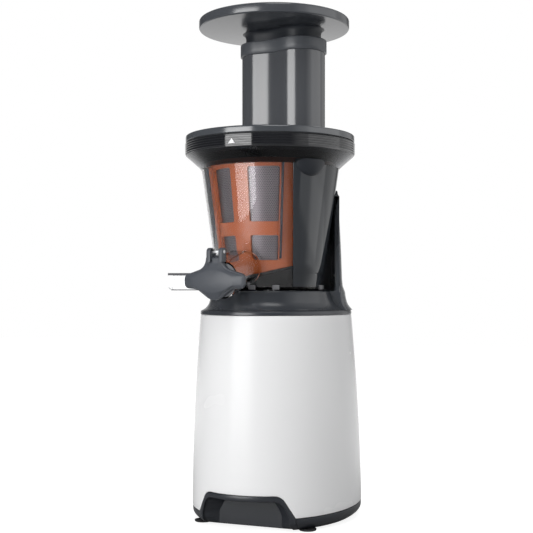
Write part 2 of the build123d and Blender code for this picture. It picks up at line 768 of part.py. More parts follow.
def panel_sector(top):
    """The part of the bowl's wall, round its back and right side, that is the opaque panel."""
    front = around(PANEL_FACING, block(PANEL_EDGE, 90, -90, 1, BOWL_FLOOR, top))
    return front + wedge(PANEL_FACING + 90, PANEL_TO, 90, BOWL_FLOOR, top)


def bowl_back_panel():
    outer = turned(
        [
            (bowl_radius(BOWL_FLOOR, BOWL_WALL), BOWL_FLOOR),
            (bowl_radius(BOWL_FLOOR, -PANEL_PROUD), BOWL_FLOOR),
            (bowl_radius(BOWL_TOP, -PANEL_PROUD), BOWL_TOP),
            (bowl_radius(BOWL_TOP, BOWL_WALL), BOWL_TOP),
        ]
    )
    return outer & panel_sector(BOWL_TOP)


def bowl_collar():
    pitch = (COLLAR_TOP - COLLAR_BOTTOM) / (COLLAR_RIBS + 0.5)
    outside = [(BOWL_RADIUS_TOP + 0.9, BOWL_TOP), (COLLAR_RADIUS - 0.6, COLLAR_BOTTOM)]
    for index in range(COLLAR_RIBS):
        low = COLLAR_BOTTOM + 0.6 + index * pitch
        outside.append((COLLAR_RADIUS - RIB_HEIGHT, low))
        outside.append((COLLAR_RADIUS, low + 0.35 * pitch))
        outside.append((COLLAR_RADIUS, low + 0.65 * pitch))
        outside.append((COLLAR_RADIUS - RIB_HEIGHT, low + 0.95 * pitch))
    outside.append((COLLAR_RADIUS - RIB_HEIGHT, COLLAR_TOP))
    inside = [
        (COLLAR_INNER, COLLAR_TOP),
        (COLLAR_INNER, COLLAR_BOTTOM + 0.8),
        (BOWL_RADIUS_TOP - BOWL_WALL, BOWL_TOP),
    ]
    collar = turned(outside + inside)
    for index in range(LUG_COUNT):
        azimuth = 360 / LUG_COUNT * index
        lug = ring(COLLAR_INNER + 0.5, 70.0, 327, 330) & wedge(azimuth - 10, azimuth + 10, 90, 320, 340)
        collar += lug
    return collar


def base_plane(raise_by):
    """All space above the sloping top of the bowl's base."""
    slope = Pos(0, 0, BASE_MIDDLE + raise_by) * Rot(-BASE_SLOPE, 0, 0) * Box(BIG, BIG, BIG, align=UP)
    return around(BASE_LOW_AZIMUTH, Rot(0, 0, 180) * slope)


def bowl_base():
    inset = BOWL_WALL + 0.05
    plug = turned(
        [
            (HUB_RADIUS + 0.05, BOWL_FLOOR),
            (bowl_radius(BOWL_FLOOR, inset), BOWL_FLOOR),
            (bowl_radius(240, inset), 240),
            (HUB_RADIUS + 0.05, 240),
        ]
    )
    plug -= base_plane(0)
    plug -= around(SPOUT_AZIMUTH, spout_prism(SPOUT_WALL) - block(-BIG, BIG, -38, BIG, 0, BIG))
    plug -= around(CHUTE_AZIMUTH, chute_bore())
    return plug


def screen_seal():
    """The soft ring between the strainer's sloping foot and the base."""
    band = screen_cone(0.3, 3.0, 200, 240) & base_plane(0.05)
    band -= base_plane(2.6)
    return band


def lock_tabs():
    """Small tabs round the bowl's foot, in pairs, that turn under the rim of the deck's seat."""
    tabs = []
    for first in LOCK_TAB_PAIRS:
        for azimuth in (first, first + LOCK_TAB_STEP):
            proud = PANEL_PROUD if LOCK_TAB_PANEL < azimuth < PANEL_TO else 0.0
            wall = bowl_cone(-proud - 0.02)
            tab = block(-3, 3, -bowl_radius(BOWL_FOOT) - 2.6, -40, BOWL_FOOT, BOWL_FOOT + 4.2)
            tabs.append(around(azimuth, tab) - wall)
    return fused(tabs)


def chute_bore():
    half = CHUTE_WIDTH / 2 - CHUTE_WALL
    return block(-half, half, -CHUTE_REACH - 5, -30, BOWL_FLOOR + 0.1, CHUTE_TOP - CHUTE_WALL)


def pulp_chute():
    half = CHUTE_WIDTH / 2
    box = block(-half, half, -CHUTE_REACH, -40, CHUTE_BOTTOM, CHUTE_TOP)
    corners = box.edges().filter_by(Axis.X).group_by(Axis.Y)[0]
    box = fillet(corners.sort_by(Axis.Z)[0], 3.5)
    box -= chute_bore()
    box -= bowl_cone(-0.02)
    return around(CHUTE_AZIMUTH, box)


def hub_seal():
    return ring(HUB_RADIUS, HUB_BORE, HUB_TOP, SCROLL_BOTTOM - 0.2)


def stopper_pin():
    return around(SPOUT_AZIMUTH, rod_across(STOPPER_PIN_RADIUS, 8.4, -STOPPER_PIN_REACH, STOPPER_PIN_Z))


def juice_stopper():
    left = [(-x, y, radius) for x, y, radius in reversed(STOPPER_OUTLINE[:-1])]
    corners = STOPPER_OUTLINE + left
    face = make_face(Polyline([(x, y) for x, y, radius in corners], close=True).edges())
    for x, y, radius in corners:
        if radius > 0:
            face = fillet(face.vertices().sort_by_distance((x, y, 0))[0], radius)
    plate = extrude(face, STOPPER_THICK)
    rims = plate.edges().group_by(Axis.Z)[-1]
    plate = fillet(rims, 1.6)
    plate = Pos(0, -STOPPER_BACK, SPOUT_END_Z + 0.3) * Rot(90, 0, 0) * plate
    for side in (-1, 1):
        centre = side * 6.0
        lug = Pos(centre, 0, 0) * rod_across(3.6, 1.9, -STOPPER_PIN_REACH, STOPPER_PIN_Z)
        lug += block(centre - 1.9, centre + 1.9, -STOPPER_PIN_REACH - 3.6, -STOPPER_BACK, 228, STOPPER_PIN_Z)
        plate += lug
    plate -= rod_across(STOPPER_PIN_RADIUS + RUNNING_GAP, 20, -STOPPER_PIN_REACH, STOPPER_PIN_Z)
    plate -= block(-4.1, 4.1, -STOPPER_PIN_REACH - 6, -STOPPER_BACK + 1, 230.5, 245)
    return around(SPOUT_AZIMUTH, plate)


def stopper_seal():
    pad = RectangleRounded(SPOUT_WIDTH - 1, SPOUT_HEIGHT - 1, 12.5)
    pad = extrude(pad, STOPPER_BACK - SPOUT_REACH - 0.1)
    place = Pos(0, -SPOUT_REACH - 0.1, SPOUT_END_Z) * Rot(90, 0, 0)
    return around(SPOUT_AZIMUTH, place * pad)


# ---------------------------------------------------------------------------- strainer and scroll
def screen_radius(height, inset=0.0):
    return SCREEN_RADIUS + (height - SCREEN_FROM) * SCREEN_SLOPE - inset


def screen_cone(outer_inset, inner_inset, bottom, top):
    return turned(
        [
            (screen_radius(bottom, inner_inset), bottom),
            (screen_radius(bottom, outer_inset), bottom),
            (screen_radius(top, outer_inset), top),
            (screen_radius(top, inner_inset), top),
        ]
    )


def screen_frame():
    frame = screen_cone(0, SCREEN_WALL, 205, SCREEN_TOP + 1) & base_plane(2.65)
    frame += ring(SCREEN_RIM_RADIUS, screen_radius(SCREEN_TOP, 1.2), SCREEN_TOP, SCREEN_RIM_TOP)
    for bottom, top in WINDOW_ROWS:
        for index in range(WINDOW_COUNT):
            azimuth = WINDOW_AZIMUTH + 360 / WINDOW_COUNT * index
            frame -= wedge(azimuth - WINDOW_ANGLE / 2, azimuth + WINDOW_ANGLE / 2, 60, bottom, top)
    frame -= around(CHUTE_AZIMUTH, chute_bore())
    return frame


def screen_mesh():
    outer = SCREEN_WALL + 0.03
    return screen_cone(outer, outer + MESH_THICK, WINDOW_ROWS[0][0] - 0.4, SCREEN_TOP - 1)


def rib_blades(half_thick, root, outer):
    """Upright blades round the strainer, between a cone about it and one inside the bowl."""
    blades = []
    for azimuth in RIB_AZIMUTHS:
        blade = block(-half_thick, half_thick, -70, -30, RIB_BOTTOM, RIB_TOP)
        blades.append(around(azimuth, blade) & outer - root)
    return fused(blades)


def screen_ribs():
    """Ribs outside the strainer that keep it in the middle of the bowl."""
    root = screen_cone(0.0, 30.0, RIB_BOTTOM - 1, RIB_TOP + 1)
    return rib_blades(1.3, root, screen_cone(-RIB_REACH, 20.0, RIB_BOTTOM, RIB_TOP))


def rib_seals():
    """Soft strips on the ribs, just clear of the bowl's wall."""
    root = screen_cone(-RIB_REACH, 30.0, RIB_BOTTOM - 1, RIB_TOP + 1)
    return rib_blades(0.9, root, bowl_cone(BOWL_WALL + 0.3, RIB_TOP + 1))


def scroll():
    clear = SCREEN_WALL + MESH_THICK + 0.6
    envelope = turned(
        [
            (0, SCROLL_BOTTOM),
            (screen_radius(SCROLL_BOTTOM, clear), SCROLL_BOTTOM),
            (screen_radius(SCROLL_TOP - 6, clear), SCROLL_TOP - 6),
            (20, SCROLL_TOP),
            (0, SCROLL_TOP),
        ]
    )
    core = turned(
        [(0, SCROLL_BOTTOM), (31, SCROLL_BOTTOM), (29, 240), (17, 290), (13, SCROLL_TOP), (0, SCROLL_TOP)]
    )
    path = Helix(FLIGHT_PITCH, SCROLL_TOP - SCROLL_BOTTOM - 8, 30, center=(0, 0, SCROLL_BOTTOM + 2))
    start = Plane(origin=path @ 0, x_dir=(1, 0, 0), z_dir=path % 0)
    flight = sweep(start * Rectangle(44, FLIGHT_THICK), path=path, is_frenet=True)
    body = core + (flight & envelope)
    body += disc(SCROLL_PIN_RADIUS, SCROLL_TOP - 1, 330)
    body -= disc(8.5, SCROLL_BOTTOM - 1, 252)
    return largest(body)


def drive_socket():
    across_corners = (SPINDLE_HEX + 0.3) / math.cos(math.radians(30)) / 2
    bore = Pos(0, 0, SCROLL_BOTTOM - 1) * extrude(RegularPolygon(across_corners, 6), 19)
    return disc(8.45, SCROLL_BOTTOM, 252) - bore


# ---------------------------------------------------------------------------- lid and pusher
def blend_arc(first, second, radius, side):
    """An arc that hollows the gap between two lobes, and touches both, at the front or the back."""
    centres = [Vector(first[0], first[1]), Vector(second[0], second[1])]
    span = centres[1] - centres[0]
    reach_first = first[2] + radius
    reach_second = second[2] + radius
    along = (span.length**2 + reach_first**2 - reach_second**2) / (2 * span.length)
    away = math.sqrt(reach_first**2 - along**2)
    across = Vector(-span.Y, span.X).normalized()
    if across.Y * side < 0:
        across = across * -1
    middle = centres[0] + span.normalized() * along + across * away
    start = centres[0] + (middle - centres[0]).normalized() * first[2]
    end = centres[1] + (middle - centres[1]).normalized() * second[2]
    bottom = middle + ((start + end) * 0.5 - middle).normalized() * radius
    return start, bottom, end


def feed_section(grow):
    """The feed tube's outline, grown outwards by an even amount."""
    right, left = [(x, y, radius + grow) for x, y, radius in FEED_LOBES]
    front = blend_arc(right, left, FEED_FRONT_BLEND - grow, -1)
    back = blend_arc(right, left, FEED_BACK_BLEND - grow, 1)
    apart = Vector(right[0] - left[0], right[1] - left[1]).normalized()
    right_end = Vector(right[0], right[1]) + apart * right[2]
    left_end = Vector(left[0], left[1]) - apart * left[2]
    outline = [
        ThreePointArc(*front),
        ThreePointArc(front[2], left_end, back[2]),
        ThreePointArc(*reversed(back)),
        ThreePointArc(back[0], right_end, front[0]),
    ]
    return make_face(outline)


def feed_prism(grow, bottom, top):
    return Pos(0, 0, bottom) * extrude(feed_section(grow), top - bottom)


def lid():
    plate = turned(
        [
            (0, LID_BOTTOM),
            (LID_RADIUS - 0.5, LID_BOTTOM),
            (LID_RADIUS, LID_BOTTOM + 0.5),
            (LID_RADIUS, LID_TOP - 1.4),
            (LID_RADIUS - 1.4, LID_TOP),
            (0, LID_TOP),
        ]
    )
    plate += ring(SKIRT_RADIUS, SKIRT_RADIUS - 2.6, 322, LID_BOTTOM + 1)
    plate += disc(6.9, 326, LID_BOTTOM + 1)
    for index in range(LUG_COUNT):
        azimuth = 360 / LUG_COUNT * (index + 0.5)
        lug = ring(72.5, SKIRT_RADIUS - 0.5, 324.5, 326.7) & wedge(azimuth - 9, azimuth + 9, 90, 320, 340)
        plate += lug
    plate -= disc(5.6, 325, LID_BOTTOM + 0.5)
    plate -= feed_prism(-FEED_WALL, 300, LID_TOP + 1)
    return plate


def scroll_bush():
    return ring(5.6, SCROLL_PIN_RADIUS + RUNNING_GAP, 326, LID_BOTTOM + 0.5)


def lid_gasket():
    return ring(75.0, 73.1, COLLAR_TOP + 0.1, LID_BOTTOM - 0.1)


def feed_tube():
    tube = feed_prism(0, LID_TOP, FEED_TOP) + feed_prism(FEED_LIP_PROUD, FEED_LIP_BOTTOM, FEED_TOP)
    rims = tube.edges().group_by(Axis.Z)[-1]
    tube = fillet(rims, 1.2)
    return tube - feed_prism(-FEED_WALL, LID_TOP - 1, FEED_TOP + 1)


def pusher_stem():
    grow = -FEED_WALL - PUSHER_GAP
    stem = feed_prism(grow, STEM_BOTTOM, PUSHER_BOTTOM)
    return stem - feed_prism(grow - STEM_WALL, STEM_BOTTOM + STEM_WALL, PUSHER_BOTTOM + 1)


def pusher_cap():
    height = PUSHER_TOP - PUSHER_BOTTOM
    rim = Pos(PUSHER_X, PUSHER_Y, PUSHER_BOTTOM) * Cylinder(PUSHER_RADIUS, height, align=UP)
    rim = fillet(rim.edges().filter_by(GeomType.CIRCLE), 2.6)
    sphere_radius = ((PUSHER_RADIUS - 8) ** 2 + PUSHER_DOME**2) / (2 * PUSHER_DOME)
    dome = Pos(PUSHER_X, PUSHER_Y, PUSHER_TOP + PUSHER_DOME - sphere_radius) * Sphere(sphere_radius)
    dome &= Pos(PUSHER_X, PUSHER_Y, PUSHER_TOP - 1) * Cylinder(PUSHER_RADIUS - 4, 6, align=UP)
    return rim + dome


PARTS = {
    "body_shell": body_shell,
    "base_pan": base_pan,
    "niche_frame": niche_frame,
    "rubber_feet": rubber_feet,
    "base_screws": base_screws,
    "top_deck": top_deck,
    "rear_column": rear_column,
    "motor_stator": motor_stator,
    "motor_windings": motor_windings,
    "motor_lower_bracket": lambda: motor_bracket(34, 48),
    "motor_upper_bracket": lambda: motor_bracket(108, 98),
    "motor_bearings": motor_bearings,
    "motor_mounts": motor_mounts,
    "rotor_shaft": rotor_shaft,
    "rotor_core": rotor_core,
    "cooling_fan": cooling_fan,
    "motor_pinion": motor_pinion,
    "stage_gear": stage_gear,
    "counter_pinion": counter_pinion,
    "counter_shaft": counter_shaft,
    "output_gear": output_gear,
    "drive_spindle": drive_spindle,
    "gearbox_housing": gearbox_housing,
    "gearbox_cover": gearbox_cover,
    "gearbox_screws": gearbox_screws,
    "counter_bushes": counter_bushes,
    "spindle_bearings": spindle_bearings,
    "spindle_seal": spindle_seal,
    "control_board": control_board,
    "run_capacitor": run_capacitor,
    "switch_housing": switch_housing,
    "power_rocker": power_rocker,
    "cord_inlet": cord_inlet,
    "interlock_plunger": interlock_plunger,
    "interlock_switch": interlock_switch,
    "bowl": bowl,
    "bowl_back_panel": bowl_back_panel,
    "bowl_collar": bowl_collar,
    "bowl_base": bowl_base,
    "screen_seal": screen_seal,
    "lock_tabs": lock_tabs,
    "pulp_chute": pulp_chute,
    "hub_seal": hub_seal,
    "stopper_pin": stopper_pin,
    "juice_stopper": juice_stopper,
    "stopper_seal": stopper_seal,
    "screen_frame": screen_frame,
    "screen_mesh": screen_mesh,
    "screen_ribs": screen_ribs,
    "rib_seals": rib_seals,
    "scroll": scroll,
    "drive_socket": drive_socket,
    "lid": lid,
    "scroll_bush": scroll_bush,
    "lid_gasket": lid_gasket,
    "feed_tube": feed_tube,
    "pusher_stem": pusher_stem,
    "pusher_cap": pusher_cap,
}

os.makedirs("parts", exist_ok=True)
low = [BIG, BIG]
high = [-BIG, -BIG]
for node, make in PARTS.items():
    shape = Pos(AXIS_X, AXIS_Y, 0) * make()
    export_step(shape, f"parts/{node}.step")
    box = shape.bounding_box()
    low = [min(low[0], box.min.X), min(low[1], box.min.Y)]
    high = [max(high[0], box.max.X), max(high[1], box.max.Y)]
middle = [round((a + b) / 2, 2) for a, b in zip(low, high)]
print("footprint middle, off the origin:", middle)
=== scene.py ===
"""Looks of the cold press juicer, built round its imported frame."""
import math

import bmesh
import bpy
from mathutils import Matrix, Vector


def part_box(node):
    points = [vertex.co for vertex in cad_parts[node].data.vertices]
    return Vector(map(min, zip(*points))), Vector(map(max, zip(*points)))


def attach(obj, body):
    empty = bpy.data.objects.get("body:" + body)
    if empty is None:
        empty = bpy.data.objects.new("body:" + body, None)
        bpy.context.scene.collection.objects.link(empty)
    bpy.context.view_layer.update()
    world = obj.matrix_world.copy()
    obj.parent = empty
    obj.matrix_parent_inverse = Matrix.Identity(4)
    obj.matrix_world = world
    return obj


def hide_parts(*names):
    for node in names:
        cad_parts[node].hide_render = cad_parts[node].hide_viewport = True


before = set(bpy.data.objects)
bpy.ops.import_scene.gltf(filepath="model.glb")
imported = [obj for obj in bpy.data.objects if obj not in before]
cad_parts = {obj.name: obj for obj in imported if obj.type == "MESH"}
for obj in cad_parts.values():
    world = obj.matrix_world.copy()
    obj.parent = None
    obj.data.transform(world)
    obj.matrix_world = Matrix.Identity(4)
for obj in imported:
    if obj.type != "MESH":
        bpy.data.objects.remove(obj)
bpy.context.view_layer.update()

# Lengths are in millimetres, measured from the drive axis in plan and from the worktop in height.
# An azimuth is an angle in plan: 0 is the front, 90 the right side, 180 the back.
MM = 0.001
spindle_low, spindle_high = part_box("drive_spindle")
AXIS_X = (spindle_low.x + spindle_high.x) / 2
AXIS_Y = (spindle_low.y + spindle_high.y) / 2
ROUND = 192  # points round a full circle
CREASE = 32.0  # degrees; a sharper bend keeps a crisp edge

# Motor base
SHELL_TOP = 182.0
SEAM_FRONT = 12.3  # the seam of casing and tray, at the front
SEAM_SLOPE = math.tan(math.radians(0.7))
BODY_HALF_WIDTH = 74.4
BODY_TAPER = 8.2  # how much narrower each side is at the top
BODY_TAPER_POWER = 1.8
BODY_DEPTH_RATIO = 1.21
BODY_BACKSET = 19.5  # how far the oval's middle lies behind the drive axis
BODY_LEAN = 3.0
SHELL_WALL = 2.6
SHELL_LIP = 0.9  # height of the rounded lips at the casing's foot and top
PLAN_LEVEL = 20.0  # height at which places along the casing's foot are taken
PAN_BOTTOM = 1.6
PAN_FLOOR = 4.4
PAN_GAP = 0.25
PAN_RIM = 3.4
PAN_RIM_LEVEL = 12.0
TUCK_DEPTH = 7.0
TUCK_HEIGHT = 8.5
TUCK_POWER = 2.2
FOOT_RADIUS = 7.5
FOOT_PLACES = ((49, -36), (-49, -36), (46, 76), (-46, 76))
WELL_RADIUS = 3.6
WELL_PLACES = ((-56, 0), (-56, 56), (56, 0), (56, 56))
VENT_COUNT = 9
VENT_PITCH = 8.0
VENT_HALF = 1.4
VENT_FROM = 30.0
VENT_TO = 76.0
VENT_CORNER = 1.35
SWITCH_Z = 46.0
BEZEL_HALF = (17.0, 14.0)  # half width and half height
BEZEL_FROM = 104.5
BEZEL_TO = 110.6
BEZEL_CORNER = 4.0
BEZEL_EDGE = 0.9
PLUG_HALF = (14.0, 11.0)  # the bezel's plug in the casing
PLUG_GAP = 0.2
ROCKER_HOLE_HALF = (7.0, 10.6)
ROCKER_HOLE_FROM = 97.5
ROCKER_PIVOT_Y = 104.0
ROCKER_RADIUS = 10.2
ROCKER_SWEEP = 107
ROCKER_HALF_WIDTH = 6.6
DISH_RADIUS = 14
DISH_REACH = 8.2
INLET_X = -28.0
INLET_Z = 32.0
GLAND_RADIUS = 6.0
GLAND_BORE = 3.3
GLAND_GROOVE = 5.3
GLAND_FLANGE = 8.5
GLAND_FROM = 81.0
GLAND_TO = 115.0
NICHE_FOOT_HALF = 44.5
NICHE_TOP_HALF = 34.5
NICHE_TOP = 31.5
NICHE_CORNER = 9.0
NICHE_FOOT_CORNER = 5.0
NICHE_MOUTH_HALF = 39.5
NICHE_MOUTH_TOP = 26.6
NICHE_BACK_HALF = 29.0
NICHE_BACK_TOP = 24.0
NICHE_BACK_Y = -45.0
NICHE_BACK_WALL = 2.0
NICHE_GAP = 0.3  # between the lining and the casing or the tray
NICHE_LEAN = 6.0
ARCH_POINTS = 121

# Deck and column: height, half width, half depth, backset
BRIM_TOP = 186.0
DECK_TOP = 203.0
DECK_FLARE = (
    (BRIM_TOP, 64.6, 78.4, 16.5),
    (188.5, 60.6, 73.0, 14.0),
    (192.0, 57.2, 67.0, 10.5),
    (197.0, 54.6, 60.0, 5.0),
    (DECK_TOP, 53.4, 53.5, 0.0),
)
COLUMN_TOP = 294.0
COLUMN_SKIN = (
    (BRIM_TOP, 64.6, 78.4, 16.5),
    (190.0, 62.2, 75.4, 14.4),
    (194.0, 61.0, 73.6, 13.0),
    (202.0, 60.1, 72.0, 12.0),
    (248.0, 59.0, 70.2, 9.6),
    (COLUMN_TOP, 57.4, 67.4, 6.4),
)
COLUMN_POCKET = 59.8
COLUMN_CORE = 53.5
COLUMN_EDGE = 111.0  # azimuth of its upright front edge
COLUMN_FRONT_Y = 17.0
COLUMN_CORNER = 16.0
COLUMN_EDGE_RADIUS = 1.4
COLUMN_FOOT_BLEND = 9.0
POCKET_LEAST = 57.8
POCKET_GAP = 1.4
SEAT_RADIUS = 47.2
SPINDLE_HOLE = 13.1
SPINDLE_SEAL_BORE = 6.1
SPINDLE_SEAL_RADIUS = 13.0
SPINDLE_SEAL_BOTTOM = 199.0
SPINDLE_SEAL_TOP = 203.4
PLUNGER_AZIMUTH = 150
PLUNGER_REACH = 42
PLUNGER_RADIUS = 3
PLUNGER_FLANGE = 5
PLUNGER_BOTTOM = 186
PLUNGER_TOP = 203.7

# Bowl
BOWL_FOOT = 204.0
BOWL_FLOOR = 206.6
BOWL_RADIUS_FOOT = 46.0
BOWL_RADIUS_TOP = 61.3
BOWL_TOP = 312.0
BOWL_WALL = 2.6
HUB_BORE = 9.1
HUB_RADIUS = 12.5
HUB_TOP = 226.0
HUB_SEAL_TOP = 229.3
PANEL_FACING = 22.0  # azimuth that the panel's upright front edge faces
PANEL_EDGE = 19.5  # from the drive axis across to that edge
PANEL_TO = 288.0
PANEL_PROUD = 0.5
PANEL_STEP_Z = 218.5
PANEL_EDGE_RADIUS = 0.7
LATCH_AZIMUTH = 57.0
LATCH_HALF_WIDTH = 16.0
LATCH_DROP = 11.0
LATCH_PROUD = 4.6
BASE_SLOPE = math.tan(math.radians(13.0))
BASE_MIDDLE = 217.0
BASE_LOW_AZIMUTH = -74.0
COLLAR_RADIUS = 76.0
COLLAR_BOTTOM = 323.4
COLLAR_TOP = 334.4
COLLAR_INNER = 73.0
COLLAR_RIBS = 5
RIB_HEIGHT = 0.5
COLLAR_LUG_REACH = 70.0
COLLAR_LUG_BOTTOM = 327.0
COLLAR_LUG_TOP = 330.0
MARK_AZIMUTH = -3.0
MARK_HALF = 2.3  # degrees to either side
MARK_BOTTOM = 326.2
MARK_TOP = 330.4
FOOT_LUG_AZIMUTHS = (3.0, 28.0, 93.0, 118.0, 183.0, 208.0)
FOOT_LUG_HALF = 3
FOOT_LUG_HEIGHT = 4.2
FOOT_LUG_PROUD = 2.6
COLLAR_LUG_HALF = 10  # degrees to either side

# Spout, stopper and chute
SPOUT_AZIMUTH = -10.0
SPOUT_REACH = 80.5
SPOUT_END_Z = 212.0
SPOUT_FALL = 19.0
SPOUT_WIDTH = 37.0
SPOUT_HEIGHT = 29.0
SPOUT_WALL = 2.4
EAR_HALF = 3.8
EAR_FOOT = 219
STOPPER_BACK = 81.3
STOPPER_THICK = 7.5
STOPPER_PLATE = 3.5  # its thickness at the rim
STOPPER_ROUND = 1.3
STOPPER_HALF_WIDTH = 31.0
STOPPER_HALF_HEIGHT = 14.0
STOPPER_NECK = (8.3, 18.6, 0.0)
PIN_REACH = 84.0
PIN_Z = 235.5
PIN_RADIUS = 1.5
PIN_HALF_LENGTH = 8.2
ARM_ASIDE = 6.0
ARM_HALF = 1.9
ARM_FOOT = 227
FLAP_SEAL_HALF = (18, 14)
FLAP_SEAL_CORNER = 12.4
STOPPER_OUTLINE = [  # right half, from under the neck down: across, up, corner radius
    (9.0, 10.4, 10.0),
    (30.6, 4.0, 4.4),
    (30.2, -6.9, 4.4),
    (17.5, -7.9, 8.0),
    (0.0, -19.5, 13.0),
]
STOPPER_ASIDE = 2.4  # how far the plate sits to the left of its pin's middle
DOME_HALF_WIDTH = 20.0
DOME_HALF_HEIGHT = 9.0
DOME_Y = -1.5
CLEAR_WALL = 1.3  # the clear wall's thickness
CHUTE_AZIMUTH = -74.0
CHUTE_REACH = 90.0
CHUTE_WIDTH = 30.0
CHUTE_BOTTOM = 203.6
CHUTE_TOP = 219.0
CHUTE_WALL = 2.0
CHUTE_ROOT = 40.0

# Strainer and scroll
SCREEN_RADIUS = 40.5
SCREEN_FROM = 217.0
SCREEN_SLOPE = 0.125
SCREEN_WALL = 2.4
SCREEN_TOP = 313.0
SCREEN_RIM_TOP = 317.0
SCREEN_RIM_RADIUS = 58.2
WINDOW_COUNT = 7
WINDOW_AZIMUTH = 16.0
WINDOW_ANGLE = 32.0
WINDOW_ROWS = ((229.6, 251.0), (262.6, 309.5))
WINDOW_CORNER = 1.8
WINDOW_MEAN_Z = 265
FRAME_BEVEL = 0.35
MESH_THICK = 0.45
RIB_AZIMUTHS = (33.0, 123.0, 213.0, 303.0)
RIB_BOTTOM = 231.0
RIB_TOP = 312.0
RIB_REACH = 3.0
SCROLL_BOTTOM = 229.5
SCROLL_TOP = 318.0
FLIGHT_PITCH = 44.0
FLIGHT_THICK = 4.5
FLIGHT_FADE = 8  # height over which the flight draws in at the top
SOCKET_RADIUS = 8.5
SOCKET_TOP = 252
SCROLL_PIN_RADIUS = 4
SCROLL_PIN_TOP = 330

# Lid, feed tube and pusher
LID_BOTTOM = 335.2
LID_TOP = 341.0
LID_RADIUS = 75.5
SKIRT_RADIUS = 69.4
SKIRT_BOTTOM = 322.0
SKIRT_WALL = 2.6
LID_LUG_REACH = 72.5
LID_LUG_BOTTOM = 324.5
LID_LUG_TOP = 326.7
LID_LUG_FROM = 36  # azimuth at which the first one starts
LID_LUG_ANGLE = 18
BOSS_RADIUS = 6.9
BOSS_BOTTOM = 326.0
BUSH_RADIUS = 5.6
BUSH_BORE = 4.05
FEED_LOBES = ((23.9, 12.9, 22.5), (-13.4, 17.2, 19.5))
FEED_FRONT_BLEND = 45.0
FEED_BACK_BLEND = 150.0
FEED_WALL = 2.5
FEED_LIP_BOTTOM = 416.0
FEED_TOP = 427.6
FEED_LIP_PROUD = 1.4
FEED_LIP_ROUND = 1.1
FEED_LIP_MIDDLE = 421
FEED_ROOT = 1.1
PUSHER_X = 1.6
PUSHER_Y = 6.0
PUSHER_RADIUS = 67.5
PUSHER_BOTTOM = 437.5
PUSHER_TOP = 446.0
PUSHER_DOME = 2.0
PUSHER_GAP = 1.2
PUSHER_FOOT_ROUND = 1.5
PUSHER_RIM_ROUND = 1.9
STEM_BOTTOM = 347.0
STEM_STRAIGHT_TOP = 431
STEM_FLARE_Z = 431.5
STEM_FLARE_HEIGHT = 6.0
STEM_FLARE_OUT = 3.2


# ---------------------------------------------------------------------------- mesh tools
def spot(x, y, z):
    """A point in the frame, from millimetres about the drive axis."""
    return Vector((AXIS_X + x * MM, AXIS_Y + y * MM, z * MM))


def polar(azimuth, radius, z):
    """A point from its azimuth in degrees, its radius and its height."""
    angle = math.radians(azimuth)
    return (radius * math.sin(angle), -radius * math.cos(angle), z)


def turn(azimuth, x, y, z):
    """A point drawn at the front, turned about the drive axis to an azimuth."""
    angle = math.radians(azimuth)
    return (
        x * math.cos(angle) - y * math.sin(angle),
        x * math.sin(angle) + y * math.cos(angle),
        z,
    )


def shade(mesh, angle=CREASE):
    """Smooth shading with crisp edges past an angle."""
    for polygon in mesh.polygons:
        polygon.use_smooth = True
    mesh.set_sharp_from_angle(angle=math.radians(angle))


def piece(name, points, faces, material, body, replaces=(), slot=None, crease=CREASE):
    """A named mesh piece from points in millimetres, on its body, with its finish."""
    mesh = bpy.data.meshes.new(name)
    mesh.from_pydata([spot(*point) for point in points], [], faces)
    tidy = bmesh.new()
    tidy.from_mesh(mesh)
    bmesh.ops.remove_doubles(tidy, verts=tidy.verts, dist=1e-6)
    bmesh.ops.dissolve_degenerate(tidy, edges=tidy.edges, dist=1e-7)
    bmesh.ops.recalc_face_normals(tidy, faces=tidy.faces)
    tidy.to_mesh(mesh)
    tidy.free()
    shade(mesh, crease)
    mesh.materials.append(material)
    made = bpy.data.objects.new(name, mesh)
    bpy.context.scene.collection.objects.link(made)
    if body:
        dress(made, body, replaces, slot)
    return made


def dress(made, body, replaces=(), slot=None):
    """Puts a finished piece on its body, in the place of its CAD nodes."""
    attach(made, body)
    if replaces:
        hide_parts(*replaces)


def strip(rows, closed_rows=False, closed_columns=True):
    """Points and faces of a grid. Each row is a list of points, all of one length."""
    count = len(rows[0])
    points = [point for row in rows for point in row]
    faces = []
    for row in range(len(rows) if closed_rows else len(rows) - 1):
        here = row * count
        above = (row + 1) % len(rows) * count
        for column in range(count if closed_columns else count - 1):
            beside = (column + 1) % count
            faces.append((here + column, here + beside, above + beside, above + column))
    return points, faces


def capped(rows):
    """A closed skin through rows of points, with a flat face at each end."""
    points, faces = strip(rows)
    count = len(rows[0])
    last = (len(rows) - 1) * count
    faces.append(tuple(range(count)))
    faces.append(tuple(range(last + count - 1, last - 1, -1)))
    return points, faces


def rounded(corners, steps=5):
    """A closed outline of (a, b, radius) corners, each rounded by its own radius."""
    outline = []
    total = len(corners)
    for index, (a, b, radius) in enumerate(corners):
        here = Vector((a, b))
        if radius <= 0:
            outline.append((a, b))
            continue
        before = (Vector(corners[index - 1][:2]) - here).normalized()
        after = (Vector(corners[(index + 1) % total][:2]) - here).normalized()
        half = before.angle(after) / 2
        reach = radius / math.tan(half)
        middle = here + (before + after).normalized() * (radius / math.sin(half))
        start = here + before * reach - middle
        end = here + after * reach - middle
        sweep = start.angle_signed(end)
        for step in range(steps + 1):
            arm = start.copy()
            arm.rotate(Matrix.Rotation(-sweep * step / steps, 2))
            outline.append((middle.x + arm.x, middle.y + arm.y))
    return outline


